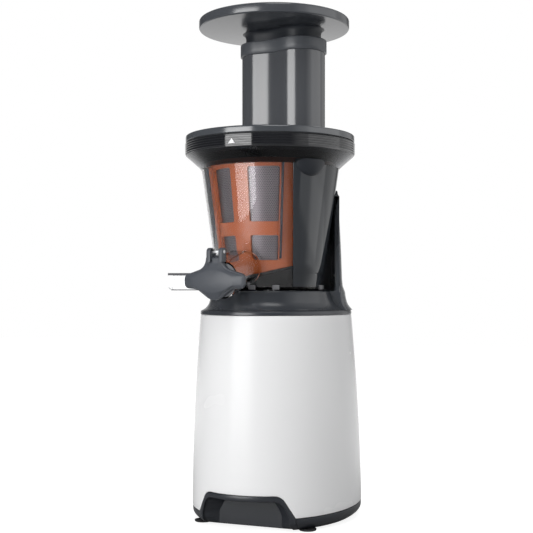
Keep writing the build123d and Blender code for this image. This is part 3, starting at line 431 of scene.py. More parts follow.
def lathe(profile, start=0.0, end=360.0, centre=(0.0, 0.0), steps=ROUND):
    """Points and faces of a profile of (radius, height) turned about an upright line."""
    whole = end - start >= 360.0
    turns = steps if whole else max(3, math.ceil(steps * (end - start) / 360.0))
    rows = []
    for index in range(turns if whole else turns + 1):
        azimuth = start + (end - start) * index / turns
        row = []
        for radius, z in profile:
            x, y, _ = polar(azimuth, radius, z)
            row.append((x + centre[0], y + centre[1], z))
        rows.append(row)
    if whole:
        return strip(rows, closed_rows=True)
    return capped(rows)


def joined(parts):
    """Several (points, faces) as one."""
    points = []
    faces = []
    for part_points, part_faces in parts:
        offset = len(points)
        points.extend(part_points)
        faces.extend(tuple(index + offset for index in face) for face in part_faces)
    return points, faces


def quarter(steps, first=0):
    """A quarter turn in even steps: each one's sine, and what its cosine falls short of one."""
    angles = [math.pi / 2 * step / steps for step in range(first, steps + 1)]
    return [(math.sin(angle), 1 - math.cos(angle)) for angle in angles]


def circle(radius, count):
    """A flat circle of points about nought."""
    angles = [2 * math.pi * index / count for index in range(count)]
    return [(radius * math.cos(angle), radius * math.sin(angle)) for angle in angles]


def four_corners(a0, a1, b0, b1, radius=0.0):
    """The (a, b, radius) corners of a plain rectangle."""
    return [(a0, b0, radius), (a1, b0, radius), (a1, b1, radius), (a0, b1, radius)]


def section_ring(section):
    """A closed ring whose section of (radius, height) points is given for each azimuth."""
    rows = []
    for index in range(ROUND):
        azimuth = 360 * index / ROUND
        rows.append([polar(azimuth, radius, z) for radius, z in section(azimuth)])
    return strip(rows, closed_rows=True)


def extruded(outline, low, high, place, edge=0.0):
    """A flat outline pushed from low to high, with rounded rims, set down by place(a, b, c)."""
    layers = [(low, 0.0), (high, 0.0)]
    if edge > 0:
        rim = [(low + edge * (1 - rise), edge * short) for rise, short in reversed(quarter(3))]
        layers = rim + [(low + high - c, inset) for c, inset in reversed(rim)]
    rows = []
    for c, inset in layers:
        rows.append([place(a, b, c) for a, b in inset_outline(outline, inset)])
    return capped(rows)


def inset_outline(outline, inset):
    """An outline drawn in by an even amount along its normals."""
    if inset <= 0:
        return outline
    total = len(outline)
    area = sum(
        outline[i - 1][0] * outline[i][1] - outline[i][0] * outline[i - 1][1] for i in range(total)
    )
    side = 1 if area > 0 else -1
    drawn = []
    for index in range(total):
        before = Vector(outline[index - 1])
        after = Vector(outline[(index + 1) % total])
        along = after - before
        if along.length < 1e-9:
            drawn.append(outline[index])
            continue
        normal = Vector((-along.y, along.x)).normalized() * side
        a, b = outline[index]
        drawn.append((a + normal.x * inset, b + normal.y * inset))
    return drawn


def modified(made, kind, **settings):
    """Applies one modifier to a piece's mesh."""
    modifier = made.modifiers.new(kind.lower(), kind)
    for key, value in settings.items():
        setattr(modifier, key, value)
    graph = bpy.context.evaluated_depsgraph_get()
    mesh = bpy.data.meshes.new_from_object(made.evaluated_get(graph))
    made.modifiers.clear()
    old = made.data
    made.data = mesh
    bpy.data.meshes.remove(old)


def combine(made, tool_parts, operation="DIFFERENCE"):
    """Cuts a piece with a tool mesh, or joins them, and takes the tool away."""
    tool = piece(made.name + "_tool", *joined(tool_parts), made.data.materials[0], None)
    modified(made, "BOOLEAN", operation=operation, solver="EXACT", object=tool)
    mesh = tool.data
    bpy.data.objects.remove(tool)
    bpy.data.meshes.remove(mesh)
    shade(made.data)


def block(x0, x1, y0, y1, z0, z1, azimuth=0.0):
    """Points and faces of a plain block, as a cutting tool."""
    corners = [(x, y, z) for z in (z0, z1) for x, y in ((x0, y0), (x1, y0), (x1, y1), (x0, y1))]
    points = [turn(azimuth, *corner) for corner in corners]
    faces = [(3, 2, 1, 0), (4, 5, 6, 7), (0, 1, 5, 4), (1, 2, 6, 5), (2, 3, 7, 6), (3, 0, 4, 7)]
    return points, faces


def smooth_rows(rows, steps):
    """Rows of numbers with a Catmull-Rom curve drawn through them."""
    drawn = []
    for index in range(len(rows) - 1):
        before = rows[max(index - 1, 0)]
        start = rows[index]
        end = rows[index + 1]
        after = rows[min(index + 2, len(rows) - 1)]
        for step in range(steps):
            t = step / steps
            span = end[0] - start[0]
            row = [start[0] + span * t]
            for k in range(1, len(start)):
                slope_start = (end[k] - before[k]) / max(end[0] - before[0], 1e-6) * span
                slope_end = (after[k] - start[k]) / max(after[0] - start[0], 1e-6) * span
                row.append(
                    (2 * t**3 - 3 * t**2 + 1) * start[k]
                    + (t**3 - 2 * t**2 + t) * slope_start
                    + (-2 * t**3 + 3 * t**2) * end[k]
                    + (t**3 - t**2) * slope_end
                )
            drawn.append(tuple(row))
    drawn.append(tuple(rows[-1]))
    return drawn


# ---------------------------------------------------------------------------- finishes
def group(name, inputs, outputs):
    """A new shader node group with named sockets, and its two end nodes."""
    tree = bpy.data.node_groups.new(name, "ShaderNodeTree")
    for label, kind, default in inputs:
        socket = tree.interface.new_socket(label, in_out="INPUT", socket_type=kind)
        socket.default_value = default
    for label, kind in outputs:
        tree.interface.new_socket(label, in_out="OUTPUT", socket_type=kind)
    return tree, tree.nodes.new("NodeGroupInput"), tree.nodes.new("NodeGroupOutput")


def node(tree, kind, **values):
    """A node with some of its inputs and settings given by name."""
    made = tree.nodes.new(kind)
    for key, value in values.items():
        if hasattr(made, key):
            setattr(made, key, value)
        else:
            made.inputs[key.replace("_", " ")].default_value = value
    return made


def calculate(tree, operation, first, second=None):
    """A math node fed with sockets or numbers."""
    made = tree.nodes.new("ShaderNodeMath")
    made.operation = operation
    for index, value in enumerate((first, second)):
        if value is None:
            continue
        if isinstance(value, (int, float)):
            made.inputs[index].default_value = value
        else:
            tree.links.new(value, made.inputs[index])
    return made.outputs[0]


def weighed(tree, first, first_weight, second, second_weight):
    """The sum of two values, each times its weight."""
    return calculate(
        tree,
        "ADD",
        calculate(tree, "MULTIPLY", first, first_weight),
        calculate(tree, "MULTIPLY", second, second_weight),
    )


def place_parts(tree, kind):
    """The sockets of a place's x, y and z."""
    place = node(tree, "ShaderNodeTexCoord")
    apart = node(tree, "ShaderNodeSeparateXYZ")
    tree.links.new(place.outputs[kind], apart.inputs[0])
    return apart.outputs


TINT_LEAST = 0.97


def moulded_group():
    """Moulded plastic: a fine grain in its height, a slow unevenness in tint and roughness."""
    tree, given, result = group(
        "moulded_surface",
        [
            ("Color", "NodeSocketColor", (0.5, 0.5, 0.5, 1)),
            ("Roughness", "NodeSocketFloat", 0.3),
            ("Grain", "NodeSocketFloat", 0.2),
            ("Grain Size", "NodeSocketFloat", 900.0),
            ("Unevenness", "NodeSocketFloat", 0.1),
        ],
        [
            ("Color", "NodeSocketColor"),
            ("Roughness", "NodeSocketFloat"),
            ("Height", "NodeSocketFloat"),
        ],
    )
    place = node(tree, "ShaderNodeTexCoord")
    grain = node(tree, "ShaderNodeTexNoise", Detail=3.0)
    slow = node(tree, "ShaderNodeTexNoise", Scale=18.0, Detail=2.0)
    tree.links.new(place.outputs["Object"], grain.inputs["Vector"])
    tree.links.new(place.outputs["Object"], slow.inputs["Vector"])
    tree.links.new(given.outputs["Grain Size"], grain.inputs["Scale"])
    tint = node(tree, "ShaderNodeHueSaturation")
    lift = calculate(tree, "MULTIPLY_ADD", slow.outputs["Fac"], given.outputs["Unevenness"])
    lift.node.inputs[2].default_value = TINT_LEAST
    tree.links.new(lift, tint.inputs["Value"])
    tree.links.new(given.outputs["Color"], tint.inputs["Color"])
    spread = calculate(tree, "SUBTRACT", slow.outputs["Fac"], 0.5)
    spread = calculate(tree, "MULTIPLY", spread, given.outputs["Unevenness"])
    rough = calculate(tree, "ADD", spread, given.outputs["Roughness"])
    height = calculate(tree, "MULTIPLY", grain.outputs["Fac"], given.outputs["Grain"])
    tree.links.new(tint.outputs["Color"], result.inputs["Color"])
    tree.links.new(rough, result.inputs["Roughness"])
    tree.links.new(height, result.inputs["Height"])
    return tree


MOULDED = moulded_group()


def finish(
    name, color, roughness, grain=0.2, grain_size=900.0, unevenness=0.06, bump=0.15, **sockets
):
    """A material whose colour, roughness and normal come from the moulded surface."""
    material = bpy.data.materials.new(name)
    material.use_nodes = True
    tree = material.node_tree
    shader = tree.nodes["Principled BSDF"]
    surface = tree.nodes.new("ShaderNodeGroup")
    surface.node_tree = MOULDED
    surface.inputs["Color"].default_value = (*color, 1)
    surface.inputs["Roughness"].default_value = roughness
    surface.inputs["Grain"].default_value = grain
    surface.inputs["Grain Size"].default_value = grain_size
    surface.inputs["Unevenness"].default_value = unevenness
    tree.links.new(surface.outputs["Color"], shader.inputs["Base Color"])
    tree.links.new(surface.outputs["Roughness"], shader.inputs["Roughness"])
    relief = node(tree, "ShaderNodeBump", Strength=bump, Distance=0.0002)
    tree.links.new(surface.outputs["Height"], relief.inputs["Height"])
    tree.links.new(relief.outputs["Normal"], shader.inputs["Normal"])
    for label, value in sockets.items():
        shader.inputs[label.replace("_", " ")].default_value = value
    return material


def metal(name, color, roughness, unevenness=0.15):
    """Bare metal with a fine brushed grain."""
    return finish(
        name, color, roughness, grain=0.5, grain_size=600.0, unevenness=unevenness, Metallic=1.0
    )


def satin(name, color, roughness, grain, bump, **sockets):
    """Plastic from a finely textured mould."""
    return finish(name, color, roughness, grain=grain, grain_size=1500.0, bump=bump, **sockets)


def gloss(name, color, roughness, unevenness=0.03, **sockets):
    """Plastic from a polished mould."""
    return finish(
        name, color, roughness, grain=0.05, grain_size=120.0, unevenness=unevenness, bump=0.02,
        **sockets
    )


def clear_finish(name, color, roughness=0.03):
    """Clear plastic that bends light a little."""
    return finish(
        name, color, roughness, grain=0.1, grain_size=60.0, unevenness=0.02, bump=0.02,
        Transmission_Weight=1.0, IOR=1.30
    )


WHITE = finish(
    "white_casing", (0.83, 0.832, 0.838), 0.27, grain=0.1, grain_size=220.0, unevenness=0.02,
    bump=0.04, Specular_IOR_Level=0.3
)
SLATE = satin("slate_trim", (0.055, 0.062, 0.072), 0.34, 0.5, 0.25)
BASE_DARK = satin("base_black", (0.024, 0.027, 0.033), 0.33, 0.5, 0.25)
# base black darkened further: painted shade on the bowl's base, deep under the strainer
SHADED_BASE_BLACK = satin("base_black_painted_shade", (0.005, 0.005, 0.006), 0.5, 0.5, 0.25, Specular_IOR_Level=0.15)
DECK = satin("deck_slate", (0.037, 0.041, 0.048), 0.24, 0.4, 0.12)
COLUMN_DARK = satin("column_slate", (0.052, 0.058, 0.067), 0.27, 0.4, 0.12)
LID_SATIN = satin("lid_satin", (0.060, 0.066, 0.075), 0.16, 0.3, 0.06, Specular_IOR_Level=1.0)
LIP_SATIN = satin("lip_satin", (0.070, 0.076, 0.086), 0.36, 0.3, 0.08)
PUSHER_SATIN = satin("pusher_satin", (0.058, 0.063, 0.072), 0.18, 0.3, 0.08, Specular_IOR_Level=0.8)
# darker than the pusher's own slate: painted shade on the stem under the cap and on the latch swell
# under the collar
SHADE_DARK = satin("dark_painted_shade", (0.022, 0.025, 0.031), 0.42, 0.3, 0.08, Specular_IOR_Level=0.25)
TUBE_GLOSS = gloss("tube_gloss", (0.070, 0.074, 0.082), 0.17, Specular_IOR_Level=0.85)
BAND_BLACK = gloss("band_black", (0.010, 0.011, 0.014), 0.07, 0.02, Specular_IOR_Level=1.0)
PANEL_DARK = gloss("panel_gloss", (0.030, 0.034, 0.040), 0.08)
CLEAR = clear_finish("clear_plastic", (0.985, 0.985, 0.985))
CHUTE_CLEAR = clear_finish("chute_clear", (0.95, 0.955, 0.96), 0.08)
# dark grey: painted shade standing for the dark edges of the chute's clear top and bottom walls
CHUTE_EDGE_SHADE = finish("chute_edge_painted_shade", (0.10, 0.10, 0.11), 0.2)
SMOKED = clear_finish("smoked_clear", (0.16, 0.165, 0.18), 0.08)
ORANGE = finish("orange_plastic", (0.385, 0.080, 0.013), 0.34, grain=0.2, grain_size=500.0)
BLACK = finish("scroll_plastic", (0.012, 0.013, 0.016), 0.34)
STRIP_NAVY = finish("rib_rubber", (0.012, 0.016, 0.030), 0.45)
STOPPER_GREY = finish("stopper_grey", (0.066, 0.073, 0.086), 0.42, grain=0.4, grain_size=1200.0)
TAB_GREY = finish("tab_grey", (0.17, 0.17, 0.18), 0.45)
RUBBER = finish("soft_rubber", (0.022, 0.022, 0.024), 0.62, grain=0.6, grain_size=1300.0)
SILICONE = finish("silicone", (0.10, 0.105, 0.115), 0.5, grain=0.3)
STEEL = metal("steel", (0.56, 0.57, 0.58), 0.28)
LAMINATIONS = metal("laminations", (0.30, 0.31, 0.32), 0.45)
COPPER = metal("copper_wire", (0.72, 0.33, 0.16), 0.35)
CAST = metal("die_cast", (0.55, 0.56, 0.57), 0.42, unevenness=0.25)
NYLON = finish("gear_nylon", (0.78, 0.75, 0.66), 0.45)
BRONZE = metal("sintered_bronze", (0.55, 0.38, 0.2), 0.48)
BOARD = finish("board_green", (0.03, 0.16, 0.07), 0.4)
COMPONENT = finish("component_grey", (0.12, 0.125, 0.135), 0.45)
WHITE_MARK = finish("white_mark", (0.85, 0.85, 0.85), 0.4)

HOLES_ROUND = 160
HOLE_ROWS_APART = 0.00145  # metres
HOLE_HEIGHT = 0.9  # a hole's height over its width, in shares of the pitch
HOLE_RIM = (0.30, 0.36)  # shares of the pitch over which a hole gives way to steel
# holes are painted, not cut: dark for the black scroll behind them, partly painted shade of the
# inside
HOLE_SHADE_COLOR = (0.012, 0.012, 0.014, 1)


def perforated_steel():
    """Thin steel with staggered round holes laid out by angle and height, painted as dark spots for
    the black scroll and the painted shade seen through them.
    """
    material = metal("perforated_steel", (0.18, 0.158, 0.175), 0.36)
    tree = material.node_tree
    shader = tree.nodes["Principled BSDF"]
    place = place_parts(tree, "Object")
    x = calculate(tree, "SUBTRACT", place[0], AXIS_X)
    y = calculate(tree, "SUBTRACT", place[1], AXIS_Y)
    angle = calculate(tree, "ARCTAN2", y, x)
    column = calculate(tree, "MULTIPLY", angle, HOLES_ROUND / (2 * math.pi))
    row = calculate(tree, "MULTIPLY", place[2], 1 / HOLE_ROWS_APART)
    odd = calculate(tree, "PINGPONG", calculate(tree, "FLOOR", row), 1.0)
    odd = calculate(tree, "MULTIPLY", odd, 0.5)
    across = calculate(tree, "FRACT", calculate(tree, "ADD", column, odd))
    across = calculate(tree, "SUBTRACT", across, 0.5)
    up = calculate(tree, "SUBTRACT", calculate(tree, "FRACT", row), 0.5)
    up = calculate(tree, "MULTIPLY", up, HOLE_HEIGHT)
    far = calculate(tree, "SQRT", weighed(tree, across, across, up, up))
    ramp = node(tree, "ShaderNodeMapRange", From_Min=HOLE_RIM[0], From_Max=HOLE_RIM[1])
    tree.links.new(far, ramp.inputs["Value"])
    color = node(tree, "ShaderNodeMix", data_type="RGBA")
    tree.links.new(ramp.outputs["Result"], color.inputs["Factor"])
    surface = shader.inputs["Base Color"].links[0].from_socket
    # dark hole spots: the scroll's colour and painted shade of the inside
    color.inputs[6].default_value = HOLE_SHADE_COLOR
    tree.links.new(surface, color.inputs[7])
    tree.links.new(color.outputs[2], shader.inputs["Base Color"])
    tree.links.new(ramp.outputs["Result"], shader.inputs["Metallic"])
    return material


PERFORATED = perforated_steel()


# ---------------------------------------------------------------------------- motor base
def body_row(z, inset=0.0):
    """The casing's oval at one height: half width, half depth, backset."""
    rise = z / SHELL_TOP
    half_width = BODY_HALF_WIDTH - BODY_TAPER * max(rise, 0.0) ** BODY_TAPER_POWER
    half_depth = half_width * BODY_DEPTH_RATIO
    return half_width - inset, half_depth - inset, BODY_BACKSET - BODY_LEAN * rise


def oval(half_width, half_depth, backset, z, count=ROUND):
    """A level oval, starting at the back."""
    ring = []
    for index in range(count):
        t = 2 * math.pi * index / count
        ring.append((half_width * math.sin(t), backset + half_depth * math.cos(t), z))
    return ring


def body_point(t, z, inset=0.0):
    """A point of the casing's skin, t being the angle along its oval in radians."""
    half_width, half_depth, backset = body_row(z, inset)
    return (half_width * math.sin(t), backset - half_depth * math.cos(t), z)


def seam_height(y):
    """The height of the seam between casing and tray."""
    front = BODY_BACKSET - BODY_HALF_WIDTH * BODY_DEPTH_RATIO
    return SEAM_FRONT + (y - front) * SEAM_SLOPE


def evenly(path, count):
    """An open path of points, respaced evenly."""
    lengths = [0.0]
    for before, after in zip(path, path[1:]):
        lengths.append(lengths[-1] + math.dist(before, after))
    spaced = []
    segment = 0
    for index in range(count):
        reach = lengths[-1] * index / (count - 1)
        while segment < len(path) - 2 and lengths[segment + 1] < reach:
            segment += 1
        span = lengths[segment + 1] - lengths[segment]
        share = (reach - lengths[segment]) / span if span else 0.0
        ends = zip(path[segment], path[segment + 1])
        spaced.append(tuple(a + (b - a) * share for a, b in ends))
    return spaced


def closed_outline(corners, steps, count):
    """A closed rounded outline of (a, b, radius) corners, respaced evenly."""
    outline = rounded(corners, steps)
    return evenly(outline + outline[:1], count + 1)[:-1]


def arch(foot_half, top_half, top, foot=PAN_BOTTOM, corner=NICHE_CORNER):
    """An arch as (x, z) points from its right foot to its left."""
    corners = [
        (foot_half, foot, 0),
        (foot_half, SEAM_FRONT, NICHE_FOOT_CORNER),
        (top_half, top, corner),
        (-top_half, top, corner),
        (-foot_half, SEAM_FRONT, NICHE_FOOT_CORNER),
        (-foot_half, foot, 0),
    ]
    return evenly(rounded(corners, steps=10), ARCH_POINTS)


def recess_arch(grow):
    """The outline of the recess in the casing's front."""
    return arch(NICHE_FOOT_HALF + grow, NICHE_TOP_HALF + grow, NICHE_TOP + grow)


def tuck(z):
    """How far the base draws in towards its foot."""
    return TUCK_DEPTH * max(0.0, 1 - (z - PAN_BOTTOM) / TUCK_HEIGHT) ** TUCK_POWER


def skin_y(x, z, proud=0.0):
    """How far forward the casing's skin stands at one x and height."""
    half_width, half_depth, backset = body_row(z, tuck(z) - proud)
    return backset - half_depth * math.sqrt(max(0.0, 1 - (x / half_width) ** 2))


def casing():
    """The white casing: one smooth oval skin, cut away over the recess and at the switch."""
    outline = recess_arch(NICHE_GAP)
    mouth_half = NICHE_FOOT_HALF + NICHE_GAP

    def foot(x, y):
        best = seam_height(y)
        if y > 0 or abs(x) > mouth_half:
            return best
        for (x0, z0), (x1, z1) in zip(outline, outline[1:]):
            if min(x0, x1) <= x <= max(x0, x1) and abs(x1 - x0) > 1e-9:
                best = max(best, z0 + (z1 - z0) * (x - x0) / (x1 - x0))
        return best

    edge = math.asin(mouth_half / body_row(PLAN_LEVEL)[0])
    inside = [edge * math.sin(math.pi / 2 * step / 60) for step in range(61)]
    outside = [edge + (math.pi - edge) * (step + 0.02) / 110 for step in range(110)] + [math.pi]
    half = inside + outside
    stations = [-t for t in reversed(half[1:-1])] + half
    places = [(t, foot(*body_point(t, PLAN_LEVEL)[:2])) for t in stations]
    lips = [(0.0, 0.9), (0.12, 0.35), (0.35, 0.12), (SHELL_LIP, 0.0)]
    rows = [[body_point(t, z + rise, inset) for t, z in places] for rise, inset in lips]
    for step in range(1, 30):
        share = step / 30
        rows.append([
            body_point(t, z + SHELL_LIP + (SHELL_TOP - 2 * SHELL_LIP - z) * share)
            for t, z in places
        ])
    for rise, inset in reversed(lips):
        rows.append([body_point(t, SHELL_TOP - rise, inset) for t in stations])
    for share in (1.0, 0.5, 0.0):
        rows.append([body_point(t, z + (SHELL_TOP - z) * share, SHELL_WALL) for t, z in places])
    shell = piece("casing", *strip(rows, closed_rows=True), WHITE, None)
    wide, high = (size + PLUG_GAP for size in PLUG_HALF)
    switch_hole = block(-wide, wide, 80, 130, SWITCH_Z - high, SWITCH_Z + high)
    combine(shell, [switch_hole, gland_bore(GLAND_RADIUS + PLUG_GAP)])
    dress(shell, "power_unit", ["body_shell"], "white_casing")


def gland_bore(radius):
    """A plain rod along Y through the place of the cord gland."""
    return extruded(circle(radius, 48), 78, 124, lambda a, b, c: (INLET_X + a, c, INLET_Z + b))


def recess_lining():
    """The dark arch set in the casing's foot, its walls drawing in to a back wall."""
    outer = recess_arch(0.0)
    mouth = arch(NICHE_MOUTH_HALF, NICHE_MOUTH_HALF - NICHE_LEAN + 1, NICHE_MOUTH_TOP)
    back = arch(NICHE_BACK_HALF, NICHE_BACK_HALF - NICHE_LEAN, NICHE_BACK_TOP)

    def on_skin(share, proud):
        path = [(a + (c - a) * share, b + (d - b) * share) for (a, b), (c, d) in zip(outer, mouth)]
        return [(x, skin_y(x, z, proud), z) for x, z in path]

    steps = ((0.0, -1.2), (0.0, 0.0), (0.08, 0.2), (0.62, 0.2), (0.82, 0.0), (0.95, -0.8))
    rows = [on_skin(share, proud) for share, proud in steps]
    front = [(x, skin_y(x, z, -2.4), z) for x, z in mouth]
    rows.append(front)
    for step in range(1, 13):
        share = step / 12
        rows.append([
            (x0 + (x1 - x0) * share, y0 + (NICHE_BACK_Y - y0) * share, z0 + (z1 - z0) * share)
            for (x0, y0, z0), (x1, z1) in zip(front, back)
        ])
    behind = NICHE_BACK_Y + NICHE_BACK_WALL
    rows.append([(x, NICHE_BACK_Y, PAN_BOTTOM) for x, z in back])
    rows.append([(x, behind, PAN_BOTTOM) for x, z in back])
    rows.append([(x, behind, z) for x, z in outer])
    points, faces = strip(rows, closed_rows=True, closed_columns=False)
    total = len(rows)
    faces.append(tuple(row * ARCH_POINTS for row in range(total)))
    faces.append(tuple(row * ARCH_POINTS + ARCH_POINTS - 1 for row in reversed(range(total))))
    piece("recess_lining", points, faces, BASE_DARK, "power_unit", ["niche_frame"], "base_black")


def base_tray():
    """The dark tray under the casing, with vents and screw wells, and its rubber feet."""
    heights = (PAN_BOTTOM, 1.9, 2.3, 2.9, 3.6, 4.4, 5.3, 6.4, 7.6, 9.0)
    rows = [oval(*body_row(z, tuck(z) + PAN_GAP), z) for z in heights]
    for drop, inset in ((1.2, 0.3), (0.7, 0.35), (0.45, 0.7), (0.4, PAN_RIM)):
        ring = oval(*body_row(PAN_RIM_LEVEL, inset), PAN_RIM_LEVEL)
        rows.append([(x, y, seam_height(y) - drop) for x, y, _ in ring])
    rows.append(oval(*body_row(PAN_FLOOR, PAN_RIM), PAN_FLOOR))
    tray = piece("base_tray", *capped(rows), BASE_DARK, None)
    outline = recess_arch(NICHE_GAP)
    outline = [(outline[0][0], -5)] + outline + [(outline[-1][0], -5)]
    behind = NICHE_BACK_Y + NICHE_BACK_WALL + NICHE_GAP
    cuts = [extruded(outline, -95, behind, lambda a, b, c: (a, c, b))]
    for index in range(VENT_COUNT):
        x = (index - (VENT_COUNT - 1) / 2) * VENT_PITCH
        left, right = x - VENT_HALF, x + VENT_HALF
        slot = rounded(four_corners(left, right, VENT_FROM, VENT_TO, VENT_CORNER))
        cuts.append(extruded(slot, PAN_BOTTOM - 1, PAN_FLOOR + 1, lambda a, b, c: (a, b, c)))
    well = rounded(four_corners(0, WELL_RADIUS, PAN_BOTTOM - 1, PAN_FLOOR + 1))
    cuts += [lathe(well, centre=place, steps=40) for place in WELL_PLACES]
    combine(tray, cuts)
    dress(tray, "power_unit", ["base_pan"], "base_black")

    pad = rounded([
        (0, 0, 0), (FOOT_RADIUS, 0, 0.9), (FOOT_RADIUS, PAN_BOTTOM, 0), (0, PAN_BOTTOM, 0),
    ])
    for index, place in enumerate(FOOT_PLACES):
        turned = lathe(pad, centre=place, steps=64)
        name = f"foot_pad_{index + 1}"
        piece(name, *turned, RUBBER, "power_unit", ["rubber_feet"], "soft_rubber")


def deck():
    """The dark brim over the casing and the shoulder that rises to the bowl's seat."""
    rows = [oval(61.5, 75.4, 16.5, SHELL_TOP)]
    brim = (
        (SHELL_TOP, 0.6), (SHELL_TOP + 0.25, 0.0), (SHELL_TOP + 0.6, -0.3), (184, -0.3),
        (BRIM_TOP - 1.1, -0.3), (BRIM_TOP - 0.5, -0.05), (BRIM_TOP - 0.1, 0.6),
    )
    rows += [oval(*body_row(z, inset), z) for z, inset in brim]
    _, half_width, half_depth, backset = DECK_FLARE[0]
    for grow, drop in ((0.9, 0.1), (0.7, 1.4), (-0.9, 1.4), (-1.0, 0.0)):
        rows.append(oval(half_width + grow, half_depth + grow, backset, BRIM_TOP - drop))
    flare = [row for row in smooth_rows(DECK_FLARE, 6) if row[0] > BRIM_TOP]
    for z, half_width, half_depth, backset in flare[:-1]:
        rows.append(oval(half_width, half_depth, backset, z))
    _, half_width, half_depth, backset = DECK_FLARE[-1]
    for drop, inset in ((0.9, 0.1), (0.3, 0.5), (0.0, 1.3)):
        rows.append(oval(half_width - inset, half_depth - inset, backset, DECK_TOP - drop))
    for radius, drop in (
        (SEAT_RADIUS, 0.0), (46.9, 0.5), (14.0, 0.5), (SPINDLE_HOLE, 1.0), (SPINDLE_HOLE, 3.5),
    ):
        rows.append(oval(radius, radius, 0, DECK_TOP - drop))
    rows.append(oval(48.0, 48.1, 0, DECK_TOP - 3.5))
    rows.append(oval(52.5, 62.5, 10, 190))
    piece("deck", *strip(rows, closed_rows=True), DECK, "power_unit", ["top_deck"], "slate_trim")


def oval_reach(azimuth, row):
    """How far an oval lies from the drive axis; row is its height, half sizes and backset."""
    _, half_width, half_depth, backset = row
    angle = math.radians(azimuth)
    a = (math.sin(angle) / half_width) ** 2 + (math.cos(angle) / half_depth) ** 2
    b = 2 * backset * math.cos(angle) / half_depth**2
    c = (backset / half_depth) ** 2 - 1
    return (-b + math.sqrt(b * b - 4 * a * c)) / (2 * a)


def edge_inset(d, arc, radius):
    """How far a rounded upright edge draws in, at a distance along an arc."""
    from_edge = min(d, arc - d)
    if from_edge >= radius:
        return 0.0
    return radius - math.sqrt(radius**2 - (radius - from_edge) ** 2)


def along_arc(near, arc, count):
    """Distances along an arc, close together near its two ends."""
    span = arc - 2 * near[-1]
    middle = [near[-1] + span * step / count for step in range(1, count)]
    return near + middle + [arc - d for d in reversed(near)]


def column():
    """The upright behind the bowl: a curved skin outside, a round pocket for the bowl inside."""
    corner_y = COLUMN_FRONT_Y + COLUMN_CORNER

    def edge_azimuth(z):
        rise = max(0.0, z - DECK_TOP)
        if rise >= COLUMN_FOOT_BLEND:
            return COLUMN_EDGE
        short = COLUMN_FOOT_BLEND - rise
        reach = COLUMN_FOOT_BLEND - math.sqrt(COLUMN_FOOT_BLEND**2 - short**2)
        return COLUMN_EDGE - math.degrees(reach / COLUMN_POCKET)

    skin = smooth_rows(COLUMN_SKIN, 8)
    arc = math.radians(360 - 2 * COLUMN_EDGE) * COLUMN_POCKET
    rows = []
    for d in along_arc([0.0, 0.1, 0.3, 0.6, 1.0, COLUMN_EDGE_RADIUS], arc, 110):
        inset = edge_inset(d, arc, COLUMN_EDGE_RADIUS)
        azimuth = COLUMN_EDGE + math.degrees(d / COLUMN_POCKET)
        y = -oval_reach(azimuth, COLUMN_SKIN[-1]) * math.cos(math.radians(azimuth))
        top = COLUMN_TOP
        if y < corner_y:
            top = COLUMN_TOP - COLUMN_CORNER + math.sqrt(COLUMN_CORNER**2 - (corner_y - y) ** 2)
        top -= inset
        loop = [(COLUMN_CORE + inset, BRIM_TOP), (COLUMN_CORE + inset, DECK_TOP)]
        for step in range(13):
            z = DECK_TOP + (top - 1.0 - DECK_TOP) * step / 12
            pocket = min(COLUMN_POCKET, max(POCKET_LEAST, bowl_radius(z) + POCKET_GAP))
            loop.append((pocket + inset, z))
        loop.append((COLUMN_POCKET + inset + 0.3, top - 0.3))
        loop.append((COLUMN_POCKET + inset + 1.0, top))
        outer = [(oval_reach(azimuth, row) - inset, min(row[0], top - 1.2)) for row in skin]
        crown = outer[-1][0]
        loop.append((crown - 1.0, top))
        loop.append((crown - 0.3, top - 0.4))
        loop.extend(reversed(outer))
        share = d / arc
        row = []
        for radius, z in loop:
            start = edge_azimuth(z)
            row.append(polar(start + (360 - 2 * start) * share, radius, z))
        rows.append(row)
    points, faces = capped(rows)
    piece("column", points, faces, COLUMN_DARK, "power_unit", ["rear_column"], "slate_trim", 40)


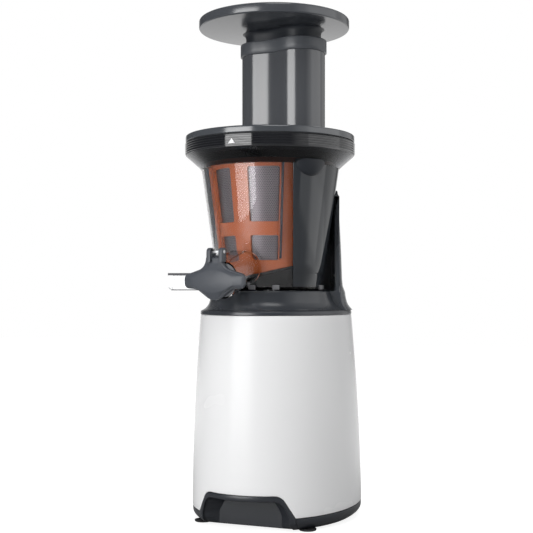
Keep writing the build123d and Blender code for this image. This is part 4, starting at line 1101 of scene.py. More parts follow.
def switch_and_gland():
    """The rocker in its bezel, and the cord gland, at the foot of the casing's back."""
    def bezel_layer(half_width, half_height, corner, low, high, edge=0.0):
        corners = four_corners(-half_width, half_width, -half_height, half_height, corner)
        outline = closed_outline(corners, 5, 120)
        return extruded(outline, low, high, lambda a, b, c: (a, c, SWITCH_Z + b), edge)

    rim = bezel_layer(*BEZEL_HALF, BEZEL_CORNER, BEZEL_FROM, BEZEL_TO, BEZEL_EDGE)
    bezel = piece("switch_bezel", *rim, BASE_DARK, None)
    combine(bezel, [bezel_layer(*PLUG_HALF, 0.5, 96, 106)], "UNION")
    combine(bezel, [bezel_layer(*ROCKER_HOLE_HALF, 1.2, ROCKER_HOLE_FROM, 120)])
    dress(bezel, "power_unit", ["switch_housing"], "base_black")

    outline = []
    for step in range(41):
        angle = math.radians(-ROCKER_SWEEP + 2 * ROCKER_SWEEP * step / 40)
        y = ROCKER_PIVOT_Y + ROCKER_RADIUS * math.cos(angle)
        z = ROCKER_RADIUS * math.sin(angle)
        hollow = math.sqrt(DISH_RADIUS**2 - min(abs(z), DISH_RADIUS - 0.1) ** 2)
        outline.append((min(y, ROCKER_PIVOT_Y + DISH_REACH + DISH_RADIUS - hollow), z))
    rocker = extruded(outline, -ROCKER_HALF_WIDTH, ROCKER_HALF_WIDTH,
                      lambda a, b, c: (c, a, SWITCH_Z + b), 0.5)
    piece("rocker_button", *rocker, SLATE, "rocker", ["power_rocker"], "base_black")
    mark = block(-0.35, 0.35, 112.35, 112.75, SWITCH_Z + 3.2, SWITCH_Z + 6.4)
    piece("rocker_on_mark", *mark, WHITE_MARK, "rocker", slot="tab_grey")

    wide, groove, flange = GLAND_RADIUS, GLAND_GROOVE, GLAND_FLANGE
    profile = rounded([
        (GLAND_BORE, GLAND_FROM, 0), (wide, GLAND_FROM, 0.4), (wide, 106.2, 0),
        (flange, 106.2, 0.5), (flange, 109.0, 1.0), (wide, 109.2, 0.4), (wide, 110.2, 0.2),
        (groove, 110.5, 0.2), (groove, 111.1, 0.2), (wide, 111.4, 0.2), (wide, 112.2, 0.2),
        (groove, 112.5, 0.2), (groove, 113.1, 0.2), (wide, 113.4, 0.2),
        (wide - 0.1, GLAND_TO, 0.7), (GLAND_BORE, GLAND_TO, 0.3),
    ], 3)
    rows = [
        [(INLET_X + radius * across, y, INLET_Z + radius * up) for radius, y in profile]
        for across, up in circle(1.0, 64)
    ]
    gland = strip(rows, closed_rows=True)
    piece("cord_gland", *gland, RUBBER, "power_unit", ["cord_inlet"], "soft_rubber")


def small_rings():
    """Seals, bushes and the plunger, as turned rings."""
    def turned(name, corners, material, body, node_name, slot, centre=(0.0, 0.0)):
        ring = lathe(rounded(corners, 3), centre=centre)
        piece(name, *ring, material, body, [node_name], slot)

    bore, radius = SPINDLE_SEAL_BORE, SPINDLE_SEAL_RADIUS
    turned("spindle_lip_seal", [
        (bore, SPINDLE_SEAL_BOTTOM, 0), (radius, SPINDLE_SEAL_BOTTOM, 0.2),
        (radius, SPINDLE_SEAL_TOP, 0.6), (10, SPINDLE_SEAL_TOP, 0.4), (9.0, 202.6, 0.4),
        (bore, 202.6, 0.3),
    ], RUBBER, "power_unit", "spindle_seal", "soft_rubber")
    turned("hub_seal_ring", [
        (HUB_BORE, HUB_TOP, 0.3), (HUB_RADIUS, HUB_TOP, 0.3), (HUB_RADIUS, HUB_SEAL_TOP, 0.9),
        (HUB_BORE, HUB_SEAL_TOP, 0.9),
    ], SILICONE, "bowl_unit", "hub_seal", "silicone")
    turned("lid_seal_ring", four_corners(73.1, 75.0, 334.5, 335.1, 0.25),
           RUBBER, "gasket", "lid_gasket", "soft_rubber")
    turned("top_bush", [
        (BUSH_BORE, BOSS_BOTTOM, 0.3), (BUSH_RADIUS, BOSS_BOTTOM, 0.3),
        (BUSH_RADIUS, LID_BOTTOM + 0.5, 0), (BUSH_BORE, LID_BOTTOM + 0.5, 0.3),
    ], STEEL, "lid_unit", "scroll_bush", "steel")
    flange_top = PLUNGER_BOTTOM + 2
    turned("lock_plunger", [
        (0, PLUNGER_BOTTOM, 0), (PLUNGER_FLANGE, PLUNGER_BOTTOM, 0.3),
        (PLUNGER_FLANGE, flange_top, 0.3), (PLUNGER_RADIUS, flange_top, 0),
        (PLUNGER_RADIUS, PLUNGER_TOP, 0.7), (0, PLUNGER_TOP, 0),
    ], TAB_GREY, "interlock", "interlock_plunger", "tab_grey",
           polar(PLUNGER_AZIMUTH, PLUNGER_REACH, 0)[:2])


# ---------------------------------------------------------------------------- bowl
def bowl_radius(z, inset=0.0):
    """The bowl's outside radius at a height, drawn in by an inset."""
    slope = (BOWL_RADIUS_TOP - BOWL_RADIUS_FOOT) / (BOWL_TOP - BOWL_FOOT)
    return BOWL_RADIUS_FOOT + (z - BOWL_FOOT) * slope - inset


def panel_front(radius):
    """The azimuth of the panel's upright front edge at one radius."""
    return PANEL_FACING + math.degrees(math.asin(PANEL_EDGE / radius))


def spout_section(inset):
    """The spout's rounded section, across and up."""
    wide = SPOUT_WIDTH / 2 - inset
    high = SPOUT_HEIGHT / 2 - inset
    corner = SPOUT_HEIGHT / 2 - 1.5 - inset
    return rounded(four_corners(-wide, wide, -high, high, corner), 14)


def spout_point(u, v, w):
    """A point of the spout from its section and the way along it, positive outwards."""
    tilt = math.radians(90 + SPOUT_FALL)
    y = -SPOUT_REACH + v * math.cos(tilt) - w * math.sin(tilt)
    z = SPOUT_END_Z + v * math.sin(tilt) + w * math.cos(tilt)
    return turn(SPOUT_AZIMUTH, u, y, z)


def spout_solid(inset, start, end=None):
    """The spout's tube; with no end given it stops at an upright plane."""
    section = spout_section(inset)
    slant = math.tan(math.radians(SPOUT_FALL))
    return capped([
        [spout_point(u, v, start) for u, v in section],
        [spout_point(u, v, -v * slant if end is None else end) for u, v in section],
    ])


def chute_hollow():
    """The passage of the chute through the bowl, its base and the strainer."""
    half = CHUTE_WIDTH / 2 - CHUTE_WALL
    low, high = BOWL_FLOOR + 0.1, CHUTE_TOP - CHUTE_WALL
    return block(-half, half, -CHUTE_REACH - 5, -30, low, high, CHUTE_AZIMUTH)


def panel_tool(low, high):
    """The space of the opaque panel: past an upright plane at the front, round to its back end."""
    front = block(PANEL_EDGE, 95, -95, 1, low, high, PANEL_FACING)
    ring = [(0, low), (95, low), (95, high), (0, high)]
    return [front, lathe(ring, PANEL_FACING + 90, PANEL_TO, steps=48)]


def clear_bowl():
    """The clear vessel: tapered wall, floor with its hub, juice spout and hinge ear."""
    outside = rounded([
        (0, BOWL_FOOT, 0), (BOWL_RADIUS_FOOT, BOWL_FOOT, 1.2), (BOWL_RADIUS_TOP, BOWL_TOP, 0),
        (0, BOWL_TOP, 0),
    ])
    vessel = piece("clear_bowl", *lathe(outside), CLEAR, None)
    combine(vessel, [spout_solid(0.0, -54)], "UNION")
    above = BOWL_TOP + 1
    inside = [
        (0, BOWL_FLOOR), (bowl_radius(BOWL_FLOOR, CLEAR_WALL), BOWL_FLOOR),
        (bowl_radius(above, CLEAR_WALL), above), (0, above),
    ]
    combine(vessel, [lathe(inside)])
    combine(vessel, [chute_hollow()])
    combine(vessel, [spout_solid(SPOUT_WALL, -53, 20)])
    for tool in panel_tool(BOWL_FLOOR, BOWL_TOP + 2):
        combine(vessel, [tool])
    hub = rounded([
        (0, BOWL_FOOT + 0.4, 0), (HUB_RADIUS, BOWL_FOOT + 0.4, 0), (HUB_RADIUS, HUB_TOP, 0.8),
        (0, HUB_TOP, 0),
    ])
    combine(vessel, [lathe(hub, steps=96)], "UNION")
    bore = rounded(four_corners(0, HUB_BORE, BOWL_FOOT - 1, HUB_TOP + 1))
    combine(vessel, [lathe(bore, steps=96)])

    root = -SPOUT_REACH + 6
    lip = -SPOUT_REACH + 0.4
    ear = rounded([
        (root, EAR_FOOT, 0), (root, PIN_Z - 1, 1), (-PIN_REACH + 3.0, PIN_Z + 1, 2),
        (-PIN_REACH, PIN_Z + 3.6, 3.2), (-PIN_REACH - 3.4, PIN_Z, 3.2),
        (-PIN_REACH, PIN_Z - 3.4, 2), (lip, PIN_Z - 6, 1), (lip, EAR_FOOT, 0),
    ], 4)
    ear = extruded(ear, -EAR_HALF, EAR_HALF, lambda a, b, c: turn(SPOUT_AZIMUTH, c, a, b), 0.5)
    piece("hinge_ear", *ear, CLEAR, "bowl_unit", slot="clear_plastic")
    dress(vessel, "bowl_unit", ["bowl"], "clear_plastic")


def back_panel():
    """The glossy dark panel that closes the bowl's back and right side."""
    ledge = PANEL_STEP_Z + 0.4
    heights = [
        (BOWL_FLOOR + 0.05, 0.0), (PANEL_STEP_Z - 0.5, 0.0), (PANEL_STEP_Z, 0.25),
        (ledge, PANEL_PROUD),
    ]
    for step in range(1, 13):
        heights.append((ledge + (BOWL_TOP - PANEL_STEP_Z - 0.4) * step / 12, PANEL_PROUD))
    arc = math.radians(PANEL_TO - panel_front(BOWL_RADIUS_TOP)) * BOWL_RADIUS_TOP
    rows = []
    for d in along_arc([0.0, 0.1, 0.35, PANEL_EDGE_RADIUS], arc, 130):
        inset = edge_inset(d, arc, PANEL_EDGE_RADIUS)
        loop = [(bowl_radius(z) + proud - inset, z) for z, proud in heights]
        loop.extend((bowl_radius(z, BOWL_WALL) + inset, z) for z, _ in reversed(heights))
        share = d / arc
        row = []
        for radius, z in loop:
            start = panel_front(radius)
            row.append(polar(start + (PANEL_TO - start) * share, radius, z))
        rows.append(row)
    points, faces = capped(rows)
    piece("back_panel", points, faces, PANEL_DARK, "bowl_unit", ["bowl_back_panel"],
          "smoked_gloss", 40)
    latch_swell()


def latch_swell():
    """The dark swelling of the panel under the collar, where the lid's latch runs; its darker satin
    is painted shade under the collar.
    """
    top = BOWL_TOP + 3
    rows = []
    for index in range(33):
        share = index / 32 * 2 - 1
        depth = math.sqrt(max(0.0, 1 - share * share))
        azimuth = LATCH_AZIMUTH + math.degrees(LATCH_HALF_WIDTH * share / BOWL_RADIUS_TOP)
        row = []
        for step in range(17):
            angle = math.pi / 2 * step / 16
            z = top - (LATCH_DROP + 3) * depth * math.sin(angle)
            radius = bowl_radius(z) - 1 + (LATCH_PROUD + 1) * depth * math.cos(angle) ** 0.6
            row.append(polar(azimuth, radius, z))
        row.append(polar(azimuth, bowl_radius(BOWL_TOP) - 2, top))
        rows.append(row)
    # darker than the panel round it: painted shade under the collar
    piece("latch_swell", *strip(rows), SHADE_DARK, "bowl_unit", slot="smoked_gloss")


def collar():
    """The smoked band at the bowl's top: a flare, a ribbed wall, and lugs for the lid."""
    pitch = (COLLAR_TOP - COLLAR_BOTTOM) / (COLLAR_RIBS + 0.5)
    rib = ((0.0, 0.0), (0.3, 0.0), (0.4, 0.7), (0.5, 1.0), (0.72, 1.0), (0.82, 0.7), (0.92, 0.0))
    groove = COLLAR_RADIUS - RIB_HEIGHT
    bore = BOWL_RADIUS_TOP - BOWL_WALL
    profile = [
        (BOWL_RADIUS_TOP + 0.7, BOWL_TOP - 0.6), (BOWL_RADIUS_TOP + 1.3, BOWL_TOP + 0.4),
        (COLLAR_RADIUS - 1.6, COLLAR_BOTTOM - 0.7), (COLLAR_RADIUS - 0.8, COLLAR_BOTTOM),
    ]
    for index in range(COLLAR_RIBS):
        low = COLLAR_BOTTOM + 0.6 + index * pitch
        for share, height in rib:
            profile.append((COLLAR_RADIUS - RIB_HEIGHT * (1 - height), low + share * pitch))
    profile += [
        (groove, COLLAR_TOP - 0.4), (groove - 0.4, COLLAR_TOP), (COLLAR_INNER + 0.3, COLLAR_TOP),
        (COLLAR_INNER, COLLAR_TOP - 0.3), (COLLAR_INNER, COLLAR_BOTTOM + 1.6),
        (COLLAR_INNER - 0.8, COLLAR_BOTTOM + 0.5), (bore + 0.4, BOWL_TOP + 0.3),
        (bore, BOWL_TOP - 0.6),
    ]
    band = piece("collar", *lathe(profile), SMOKED, None)
    lug = rounded([
        (COLLAR_INNER + 0.5, COLLAR_LUG_BOTTOM, 0), (COLLAR_INNER + 0.5, COLLAR_LUG_TOP, 0),
        (COLLAR_LUG_REACH, COLLAR_LUG_TOP, 0.5), (COLLAR_LUG_REACH, COLLAR_LUG_BOTTOM, 0.5),
    ])
    for middle in range(0, 360, 90):
        ends = middle - COLLAR_LUG_HALF, middle + COLLAR_LUG_HALF
        combine(band, [lathe(lug, *ends)], "UNION")
    paint_above(band, COLLAR_BOTTOM - 0.2, BAND_BLACK)
    dress(band, "bowl_unit", ["bowl_collar"], "smoked_clear")

    face = (
        (MARK_AZIMUTH - MARK_HALF, MARK_BOTTOM), (MARK_AZIMUTH + MARK_HALF, MARK_BOTTOM),
        (MARK_AZIMUTH, MARK_TOP),
    )
    rows = []
    for radius in (COLLAR_RADIUS - 0.9, COLLAR_RADIUS + 0.08):
        rows.append([polar(azimuth, radius, z) for azimuth, z in face])
    piece("closing_mark", *capped(rows), WHITE_MARK, "bowl_unit", slot="white_casing")


def paint_above(made, height, material):
    """Gives a second finish to the faces of a piece that lie above a height."""
    made.data.materials.append(material)
    for polygon in made.data.polygons:
        if polygon.center.z > height * MM:
            polygon.material_index = 1


def slope_height(azimuth, radius, raise_by=0.0):
    """The height of the base's sloping top."""
    fall = radius * math.cos(math.radians(azimuth - BASE_LOW_AZIMUTH)) * BASE_SLOPE
    return BASE_MIDDLE + raise_by - fall


def bowl_foot():
    """The base inside the bowl, darker than base black as painted shade, and the seal under the
    strainer.
    """
    inner = HUB_RADIUS + 0.05
    outer_low = bowl_radius(BOWL_FLOOR, BOWL_WALL + 0.05)

    def base_section(azimuth):
        outer_high = bowl_radius(slope_height(azimuth, 47), BOWL_WALL + 0.05)
        return (
            (inner, BOWL_FLOOR),
            (outer_low, BOWL_FLOOR),
            (outer_high, slope_height(azimuth, outer_high) - 0.6),
            (outer_high - 0.6, slope_height(azimuth, outer_high)),
            (inner, slope_height(azimuth, HUB_RADIUS)),
        )

    # its finish is base black darkened as painted shade
    base = piece("bowl_base_plug", *section_ring(base_section), SHADED_BASE_BLACK, None)
    combine(base, [spout_solid(SPOUT_WALL, -42, 20)])
    combine(base, [chute_hollow()])
    dress(base, "bowl_unit", ["bowl_base"], "base_black")

    near, far = SCREEN_RADIUS - 3.0, SCREEN_RADIUS - 0.3
    loop = ((near, 0.05), (far, 0.05), (far, 2.6), (near, 2.6))
    ring = section_ring(
        lambda azimuth: [(radius, slope_height(azimuth, radius, rise)) for radius, rise in loop]
    )
    piece("strainer_seal", *ring, RUBBER, "bowl_unit", ["screen_seal"], "soft_rubber")


def lock_lugs():
    """Small grey lugs round the bowl's foot, in pairs."""
    wall = bowl_radius(BOWL_FOOT + 2) - 0.4
    half, top = FOOT_LUG_HALF, BOWL_FOOT + FOOT_LUG_HEIGHT
    outline = rounded([
        (-half, BOWL_FOOT, 0.5), (half, BOWL_FOOT, 0.5), (half, top, 0.9), (-half, top, 0.9),
    ], 3)
    parts = []
    for azimuth in FOOT_LUG_AZIMUTHS:
        parts.append(extruded(outline, -BOWL_RADIUS_FOOT - FOOT_LUG_PROUD, -wall,
                              lambda a, b, c: turn(azimuth, a, c, b), 0.5))
    piece("lock_lugs", *joined(parts), TAB_GREY, "bowl_unit", ["lock_tabs"], "tab_grey")


def chute():
    """The pulp chute: a clear box whose top and bottom walls are opaque dark grey, painted shade
    for the dark edges that clear walls show edge-on.
    """
    half = CHUTE_WIDTH / 2
    low, high = CHUTE_BOTTOM + 0.6, CHUTE_TOP - CHUTE_WALL - 0.1
    below, above = 195, 225
    cone = [
        (0, below), (bowl_radius(below, -0.02), below), (bowl_radius(above, -0.02), above),
        (0, above),
    ]
    outline = rounded([
        (-CHUTE_REACH, low, 3.2), (-CHUTE_ROOT, low, 0), (-CHUTE_ROOT, high, 0),
        (-CHUTE_REACH, high, 0.3),
    ], 6)
    walls = extruded(outline, -half, half, lambda a, b, c: turn(CHUTE_AZIMUTH, c, a, b), 0.5)
    box = piece("pulp_chute_box", *walls, CHUTE_CLEAR, None)
    inside = half - CHUTE_WALL
    combine(box, [block(-inside, inside, -CHUTE_REACH - 5, -30, BOWL_FLOOR + 0.1, CHUTE_TOP,
                        CHUTE_AZIMUTH)])
    combine(box, [lathe(cone)])
    # roof and sole are dark as painted shade of the clear walls' edges
    for name, low, high, reach in (
        ("pulp_chute_roof", CHUTE_TOP - CHUTE_WALL - 0.1, CHUTE_TOP, CHUTE_REACH),
        ("pulp_chute_sole", CHUTE_BOTTOM, CHUTE_BOTTOM + 0.9, CHUTE_REACH - 3.0),
    ):
        outline = rounded(four_corners(-half, half, -reach, -CHUTE_ROOT))
        wall = extruded(outline, low, high, lambda a, b, c: turn(CHUTE_AZIMUTH, a, b, c), 0.25)
        slab = piece(name, *wall, CHUTE_EDGE_SHADE, None)
        combine(slab, [lathe(cone)])
        dress(slab, "bowl_unit", slot="smoked_gloss")
    dress(box, "bowl_unit", ["pulp_chute"], "clear_plastic")


def stopper():
    """The shield-shaped flap that shuts the juice spout, on its pin."""
    right = [STOPPER_NECK] + STOPPER_OUTLINE
    left = [(-x, y, radius) for x, y, radius in reversed(right[:-1])]
    outline = closed_outline(right + left, 10, 260)

    def place(a, b, c):
        return turn(SPOUT_AZIMUTH, a - STOPPER_ASIDE, -STOPPER_BACK - c, SPOUT_END_Z + 0.3 + b)

    shoulder = STOPPER_PLATE - STOPPER_ROUND
    layers = [(0.0, 0.4), (0.4, 0.0), (shoulder, 0.0)]
    for rise, short in quarter(5, 1):
        layers.append((shoulder + STOPPER_ROUND * rise, STOPPER_ROUND * short))
    rows = [[place(a, b, c) for a, b in inset_outline(outline, inset)] for c, inset in layers]
    rim = inset_outline(outline, STOPPER_ROUND)
    for step in range(1, 19):
        share = step / 19
        edge_rise = math.sin(min(1.0, share / 0.5) * math.pi / 2)
        blend = min(1.0, share / 0.55)
        blend = blend * blend * (3 - 2 * blend)
        shrink = min(1.0, (1 - share) / 0.45)
        row = []
        for a, b in rim:
            around = math.atan2((b - DOME_Y) / DOME_HALF_HEIGHT, a / DOME_HALF_WIDTH)
            dome_x = DOME_HALF_WIDTH * math.cos(around)
            dome_y = DOME_Y + DOME_HALF_HEIGHT * math.sin(around)
            x, y = a + (dome_x - a) * blend, b + (dome_y - b) * blend
            x, y = x * shrink, DOME_Y + (y - DOME_Y) * shrink
            away = (x / STOPPER_HALF_WIDTH) ** 2 + ((y - DOME_Y) / STOPPER_HALF_HEIGHT) ** 2
            rise = (STOPPER_THICK - STOPPER_PLATE) * edge_rise * max(0.0, 1 - 0.75 * away)
            row.append(place(x, y, STOPPER_PLATE + rise))
        rows.append(row)
    parts = [capped(rows)]
    arm = rounded([
        (-PIN_REACH + 3.4, PIN_Z + 3.4, 3.3), (-PIN_REACH - 3.6, PIN_Z + 3.6, 3.5),
        (-PIN_REACH - 3.6, ARM_FOOT, 0), (-STOPPER_BACK, ARM_FOOT, 0),
        (-STOPPER_BACK, PIN_Z - 3, 0.5), (-PIN_REACH + 3.4, PIN_Z - 1, 0.5),
    ], 6)
    for centre in (-ARM_ASIDE, ARM_ASIDE):
        parts.append(extruded(arm, centre - ARM_HALF, centre + ARM_HALF,
                              lambda a, b, c: turn(SPOUT_AZIMUTH, c, a, b), 0.5))
    points, faces = joined(parts)
    piece("stopper_flap", points, faces, STOPPER_GREY, "stopper", ["juice_stopper"],
          "stopper_grey", 50)
    pin = extruded(circle(PIN_RADIUS, 32), -PIN_HALF_LENGTH, PIN_HALF_LENGTH,
                   lambda a, b, c: turn(SPOUT_AZIMUTH, c, -PIN_REACH + a, PIN_Z + b), 0.4)
    piece("hinge_pin", *pin, STEEL, "bowl_unit", ["stopper_pin"], "steel")
    wide, high = FLAP_SEAL_HALF
    corners = four_corners(-wide, wide, -high, high, FLAP_SEAL_CORNER)
    seal = extruded(rounded(corners, 12), -SPOUT_REACH - 0.72, -SPOUT_REACH - 0.1,
                    lambda a, b, c: turn(SPOUT_AZIMUTH, a, c, SPOUT_END_Z + b), 0.2)
    piece("flap_seal", *seal, SILICONE, "stopper", ["stopper_seal"], "silicone")


# ---------------------------------------------------------------------------- strainer and scroll
def screen_radius(z, inset=0.0):
    """The strainer's outside radius at a height, drawn in by an inset."""
    return SCREEN_RADIUS + (z - SCREEN_FROM) * SCREEN_SLOPE - inset


def strainer():
    """The orange strainer frame with its windows, ribs, soft strips and steel sheet."""
    inner_top = screen_radius(SCREEN_TOP, SCREEN_WALL)

    def frame_section(azimuth):
        foot = slope_height(azimuth, SCREEN_RADIUS, 2.65)
        return (
            (screen_radius(foot, SCREEN_WALL), foot + 0.1),
            (screen_radius(foot, 0.3), foot),
            (screen_radius(foot + 0.4), foot + 0.4),
            (screen_radius(255), 255),
            (screen_radius(SCREEN_TOP - 0.8), SCREEN_TOP - 0.8),
            (screen_radius(SCREEN_TOP) + 0.8, SCREEN_TOP),
            (SCREEN_RIM_RADIUS - 0.5, SCREEN_TOP),
            (SCREEN_RIM_RADIUS, SCREEN_TOP + 0.5),
            (SCREEN_RIM_RADIUS, SCREEN_RIM_TOP - 0.6),
            (SCREEN_RIM_RADIUS - 0.6, SCREEN_RIM_TOP),
            (inner_top + 0.6, SCREEN_RIM_TOP),
            (inner_top, SCREEN_RIM_TOP - 0.6),
            (screen_radius(SCREEN_TOP - 1, SCREEN_WALL), SCREEN_TOP - 1),
        )

    cage = piece("strainer_frame", *section_ring(frame_section), ORANGE, None)
    mean = screen_radius(WINDOW_MEAN_Z)
    half = math.radians(WINDOW_ANGLE / 2) * mean
    for low, high in WINDOW_ROWS:
        outline = closed_outline(four_corners(-half, half, low, high, WINDOW_CORNER), 4, 96)
        for index in range(WINDOW_COUNT):
            azimuth = WINDOW_AZIMUTH + 360 / WINDOW_COUNT * index
            places = [(azimuth + math.degrees(a / mean), z) for a, z in outline]
            window = [[polar(around, radius, z) for around, z in places] for radius in (36, 57)]
            combine(cage, [capped(window)])
    combine(cage, [chute_hollow()])
    modified(cage, "BEVEL", width=FRAME_BEVEL * MM, segments=2, limit_method="ANGLE",
             angle_limit=math.radians(50))
    shade(cage.data, 34)
    dress(cage, "bowl_unit", ["screen_frame"], "orange_plastic")

    near = SCREEN_WALL + 0.03
    far = near + MESH_THICK
    low, high = WINDOW_ROWS[0][0] - 0.4, SCREEN_TOP - 1
    sheet = [
        (screen_radius(low, far), low), (screen_radius(low, near), low),
        (screen_radius(high, near), high), (screen_radius(high, far), high),
    ]
    points, faces = lathe(sheet)
    piece("steel_sheet", points, faces, PERFORATED, "bowl_unit", ["screen_mesh"],
          "perforated_steel")

    ribs, strips = [], []
    for azimuth in RIB_AZIMUTHS:
        rib, soft = [], []
        for step in range(25):
            z = RIB_BOTTOM + (RIB_TOP - RIB_BOTTOM) * step / 24
            tip = screen_radius(z) + RIB_REACH
            root = tip - RIB_REACH - 0.6
            wall = bowl_radius(z, CLEAR_WALL + 0.3)
            for rows, section in (
                (rib, ((-1.3, root), (1.3, root), (1.3, tip - 0.4), (0.9, tip), (-0.9, tip),
                       (-1.3, tip - 0.4))),
                (soft, ((-0.9, tip), (0.9, tip), (0.8, wall - 0.5), (0.35, wall), (-0.35, wall),
                        (-0.8, wall - 0.5))),
            ):
                rows.append([turn(azimuth, x, -radius, z) for x, radius in section])
        ribs.append(capped(rib))
        strips.append(capped(soft))
    piece("strainer_ribs", *joined(ribs), ORANGE, "bowl_unit", ["screen_ribs"], "orange_plastic")
    piece("rib_strips", *joined(strips), STRIP_NAVY, "bowl_unit", ["rib_seals"], "rib_rubber")


def screw():
    """The scroll: a tapering core with one winding flight, and its top pin."""
    core = rounded([
        (SOCKET_RADIUS, SCROLL_BOTTOM, 0), (31, SCROLL_BOTTOM, 0.8), (29, 240, 6), (17, 290, 40),
        (13, SCROLL_TOP, 2), (SCROLL_PIN_RADIUS, SCROLL_TOP, 1.0),
        (SCROLL_PIN_RADIUS, SCROLL_PIN_TOP, 0.8), (0, SCROLL_PIN_TOP, 0),
    ], 6)
    parts = [lathe(core + [(0, SOCKET_TOP), (SOCKET_RADIUS, SOCKET_TOP)], steps=128)]
    clear = SCREEN_WALL + MESH_THICK + 0.6
    climb = SCROLL_TOP - SCROLL_BOTTOM - FLIGHT_FADE
    half = FLIGHT_THICK / 2
    rows = []
    for index in range(221):
        share = index / 220
        angle = 2 * math.pi * climb / FLIGHT_PITCH * share
        z = SCROLL_BOTTOM + 2 + climb * share
        reach = screen_radius(z, clear)
        if z > SCROLL_TOP - FLIGHT_FADE:
            reach -= (z - SCROLL_TOP + FLIGHT_FADE) * 2.0
        row = []
        for radius, up in (
            (12, -half), (reach - 1.5, -half * 0.8), (reach, -half * 0.3), (reach, half * 0.3),
            (reach - 1.5, half * 0.8), (12, half),
        ):
            height = min(max(z + up, SCROLL_BOTTOM), SCROLL_TOP)
            row.append((radius * math.cos(angle), radius * math.sin(angle), height))
        rows.append(row)
    parts.append(capped(rows))
    piece("scroll_screw", *joined(parts), BLACK, "scroll_unit", ["scroll"], "scroll_plastic")


# ---------------------------------------------------------------------------- lid and pusher
def swing(centre, radius, start, end, via, steps):
    """Points of an arc from start towards end, on the side that passes via, without the end."""
    def heading(point):
        return math.atan2(point[1] - centre[1], point[0] - centre[0])

    first, last, between = heading(start), heading(end), heading(via)
    span = (last - first) % (2 * math.pi)
    if (between - first) % (2 * math.pi) > span:
        span -= 2 * math.pi
    return [
        (centre[0] + radius * math.cos(first + span * step / steps),
         centre[1] + radius * math.sin(first + span * step / steps))
        for step in range(steps)
    ]


def feed_outline(grow):
    """The feed tube's outline: two lobes joined by hollow blends, grown by an even amount."""
    (x0, y0, r0), (x1, y1, r1) = FEED_LOBES
    right, left = Vector((x0, y0)), Vector((x1, y1))
    r0, r1 = r0 + grow, r1 + grow
    span = left - right
    blends = []
    for radius, side in ((FEED_FRONT_BLEND - grow, -1), (FEED_BACK_BLEND - grow, 1)):
        along = (span.length**2 + (r0 + radius) ** 2 - (r1 + radius) ** 2) / (2 * span.length)
        away = math.sqrt((r0 + radius) ** 2 - along**2)
        across = Vector((-span.y, span.x)).normalized()
        if across.y * side < 0:
            across = -across
        middle = right + span.normalized() * along + across * away
        on_right = right + (middle - right).normalized() * r0
        on_left = left + (middle - left).normalized() * r1
        blends.append((middle, radius, on_right, on_left))
    front, front_radius, front_right, front_left = blends[0]
    back, back_radius, back_right, back_left = blends[1]
    away = span.normalized()
    waist = (front_right + front_left) / 2
    outline = swing(front, front_radius, front_right, front_left, waist, 40)
    outline += swing(left, r1, front_left, back_left, left + away * r1, 72)
    waist = (back_left + back_right) / 2
    outline += swing(back, back_radius, back_left, back_right, waist, 48)
    outline += swing(right, r0, back_right, front_right, right - away * r0, 72)
    return outline


def feed_rows(steps):
    """Rows of the feed tube's section from (height, growth) steps."""
    return [[(x, y, z) for x, y in feed_outline(grow)] for z, grow in steps]


def lid_plate():
    """The flat lid with its skirt, lugs, middle boss and food opening."""
    into = LID_BOTTOM + 1

    def turned(corners, bends, *arc, **settings):
        return [lathe(rounded(corners, bends), *arc, **settings)]

    plate = turned([
        (0, LID_BOTTOM, 0), (LID_RADIUS, LID_BOTTOM, 0.7), (LID_RADIUS, LID_TOP, 1.5),
        (0, LID_TOP, 0),
    ], 5)
    made = piece("lid_plate", *plate[0], LID_SATIN, None)
    inside = SKIRT_RADIUS - SKIRT_WALL
    combine(made, turned([
        (inside, SKIRT_BOTTOM, 0.7), (SKIRT_RADIUS, SKIRT_BOTTOM, 0.7), (SKIRT_RADIUS, into, 0),
        (inside, into, 0),
    ], 3), "UNION")
    combine(made, turned([
        (0, BOSS_BOTTOM, 0), (BOSS_RADIUS, BOSS_BOTTOM, 0.6), (BOSS_RADIUS, into, 0), (0, into, 0),
    ], 3, steps=64), "UNION")
    root = SKIRT_RADIUS - 0.5
    lug = [
        (root, LID_LUG_BOTTOM, 0), (LID_LUG_REACH, LID_LUG_BOTTOM, 0.4),
        (LID_LUG_REACH, LID_LUG_TOP, 0.4), (root, LID_LUG_TOP, 0),
    ]
    for start in range(LID_LUG_FROM, 360, 90):
        combine(made, turned(lug, 3, start, start + LID_LUG_ANGLE), "UNION")
    combine(made, [capped(feed_rows([(300, -FEED_WALL), (LID_TOP + 1, -FEED_WALL)]))])
    hole = four_corners(0, BUSH_RADIUS, 320, LID_BOTTOM + 0.5)
    combine(made, turned(hole, 1, steps=64))
    dress(made, "lid_unit", ["lid"], "slate_trim")


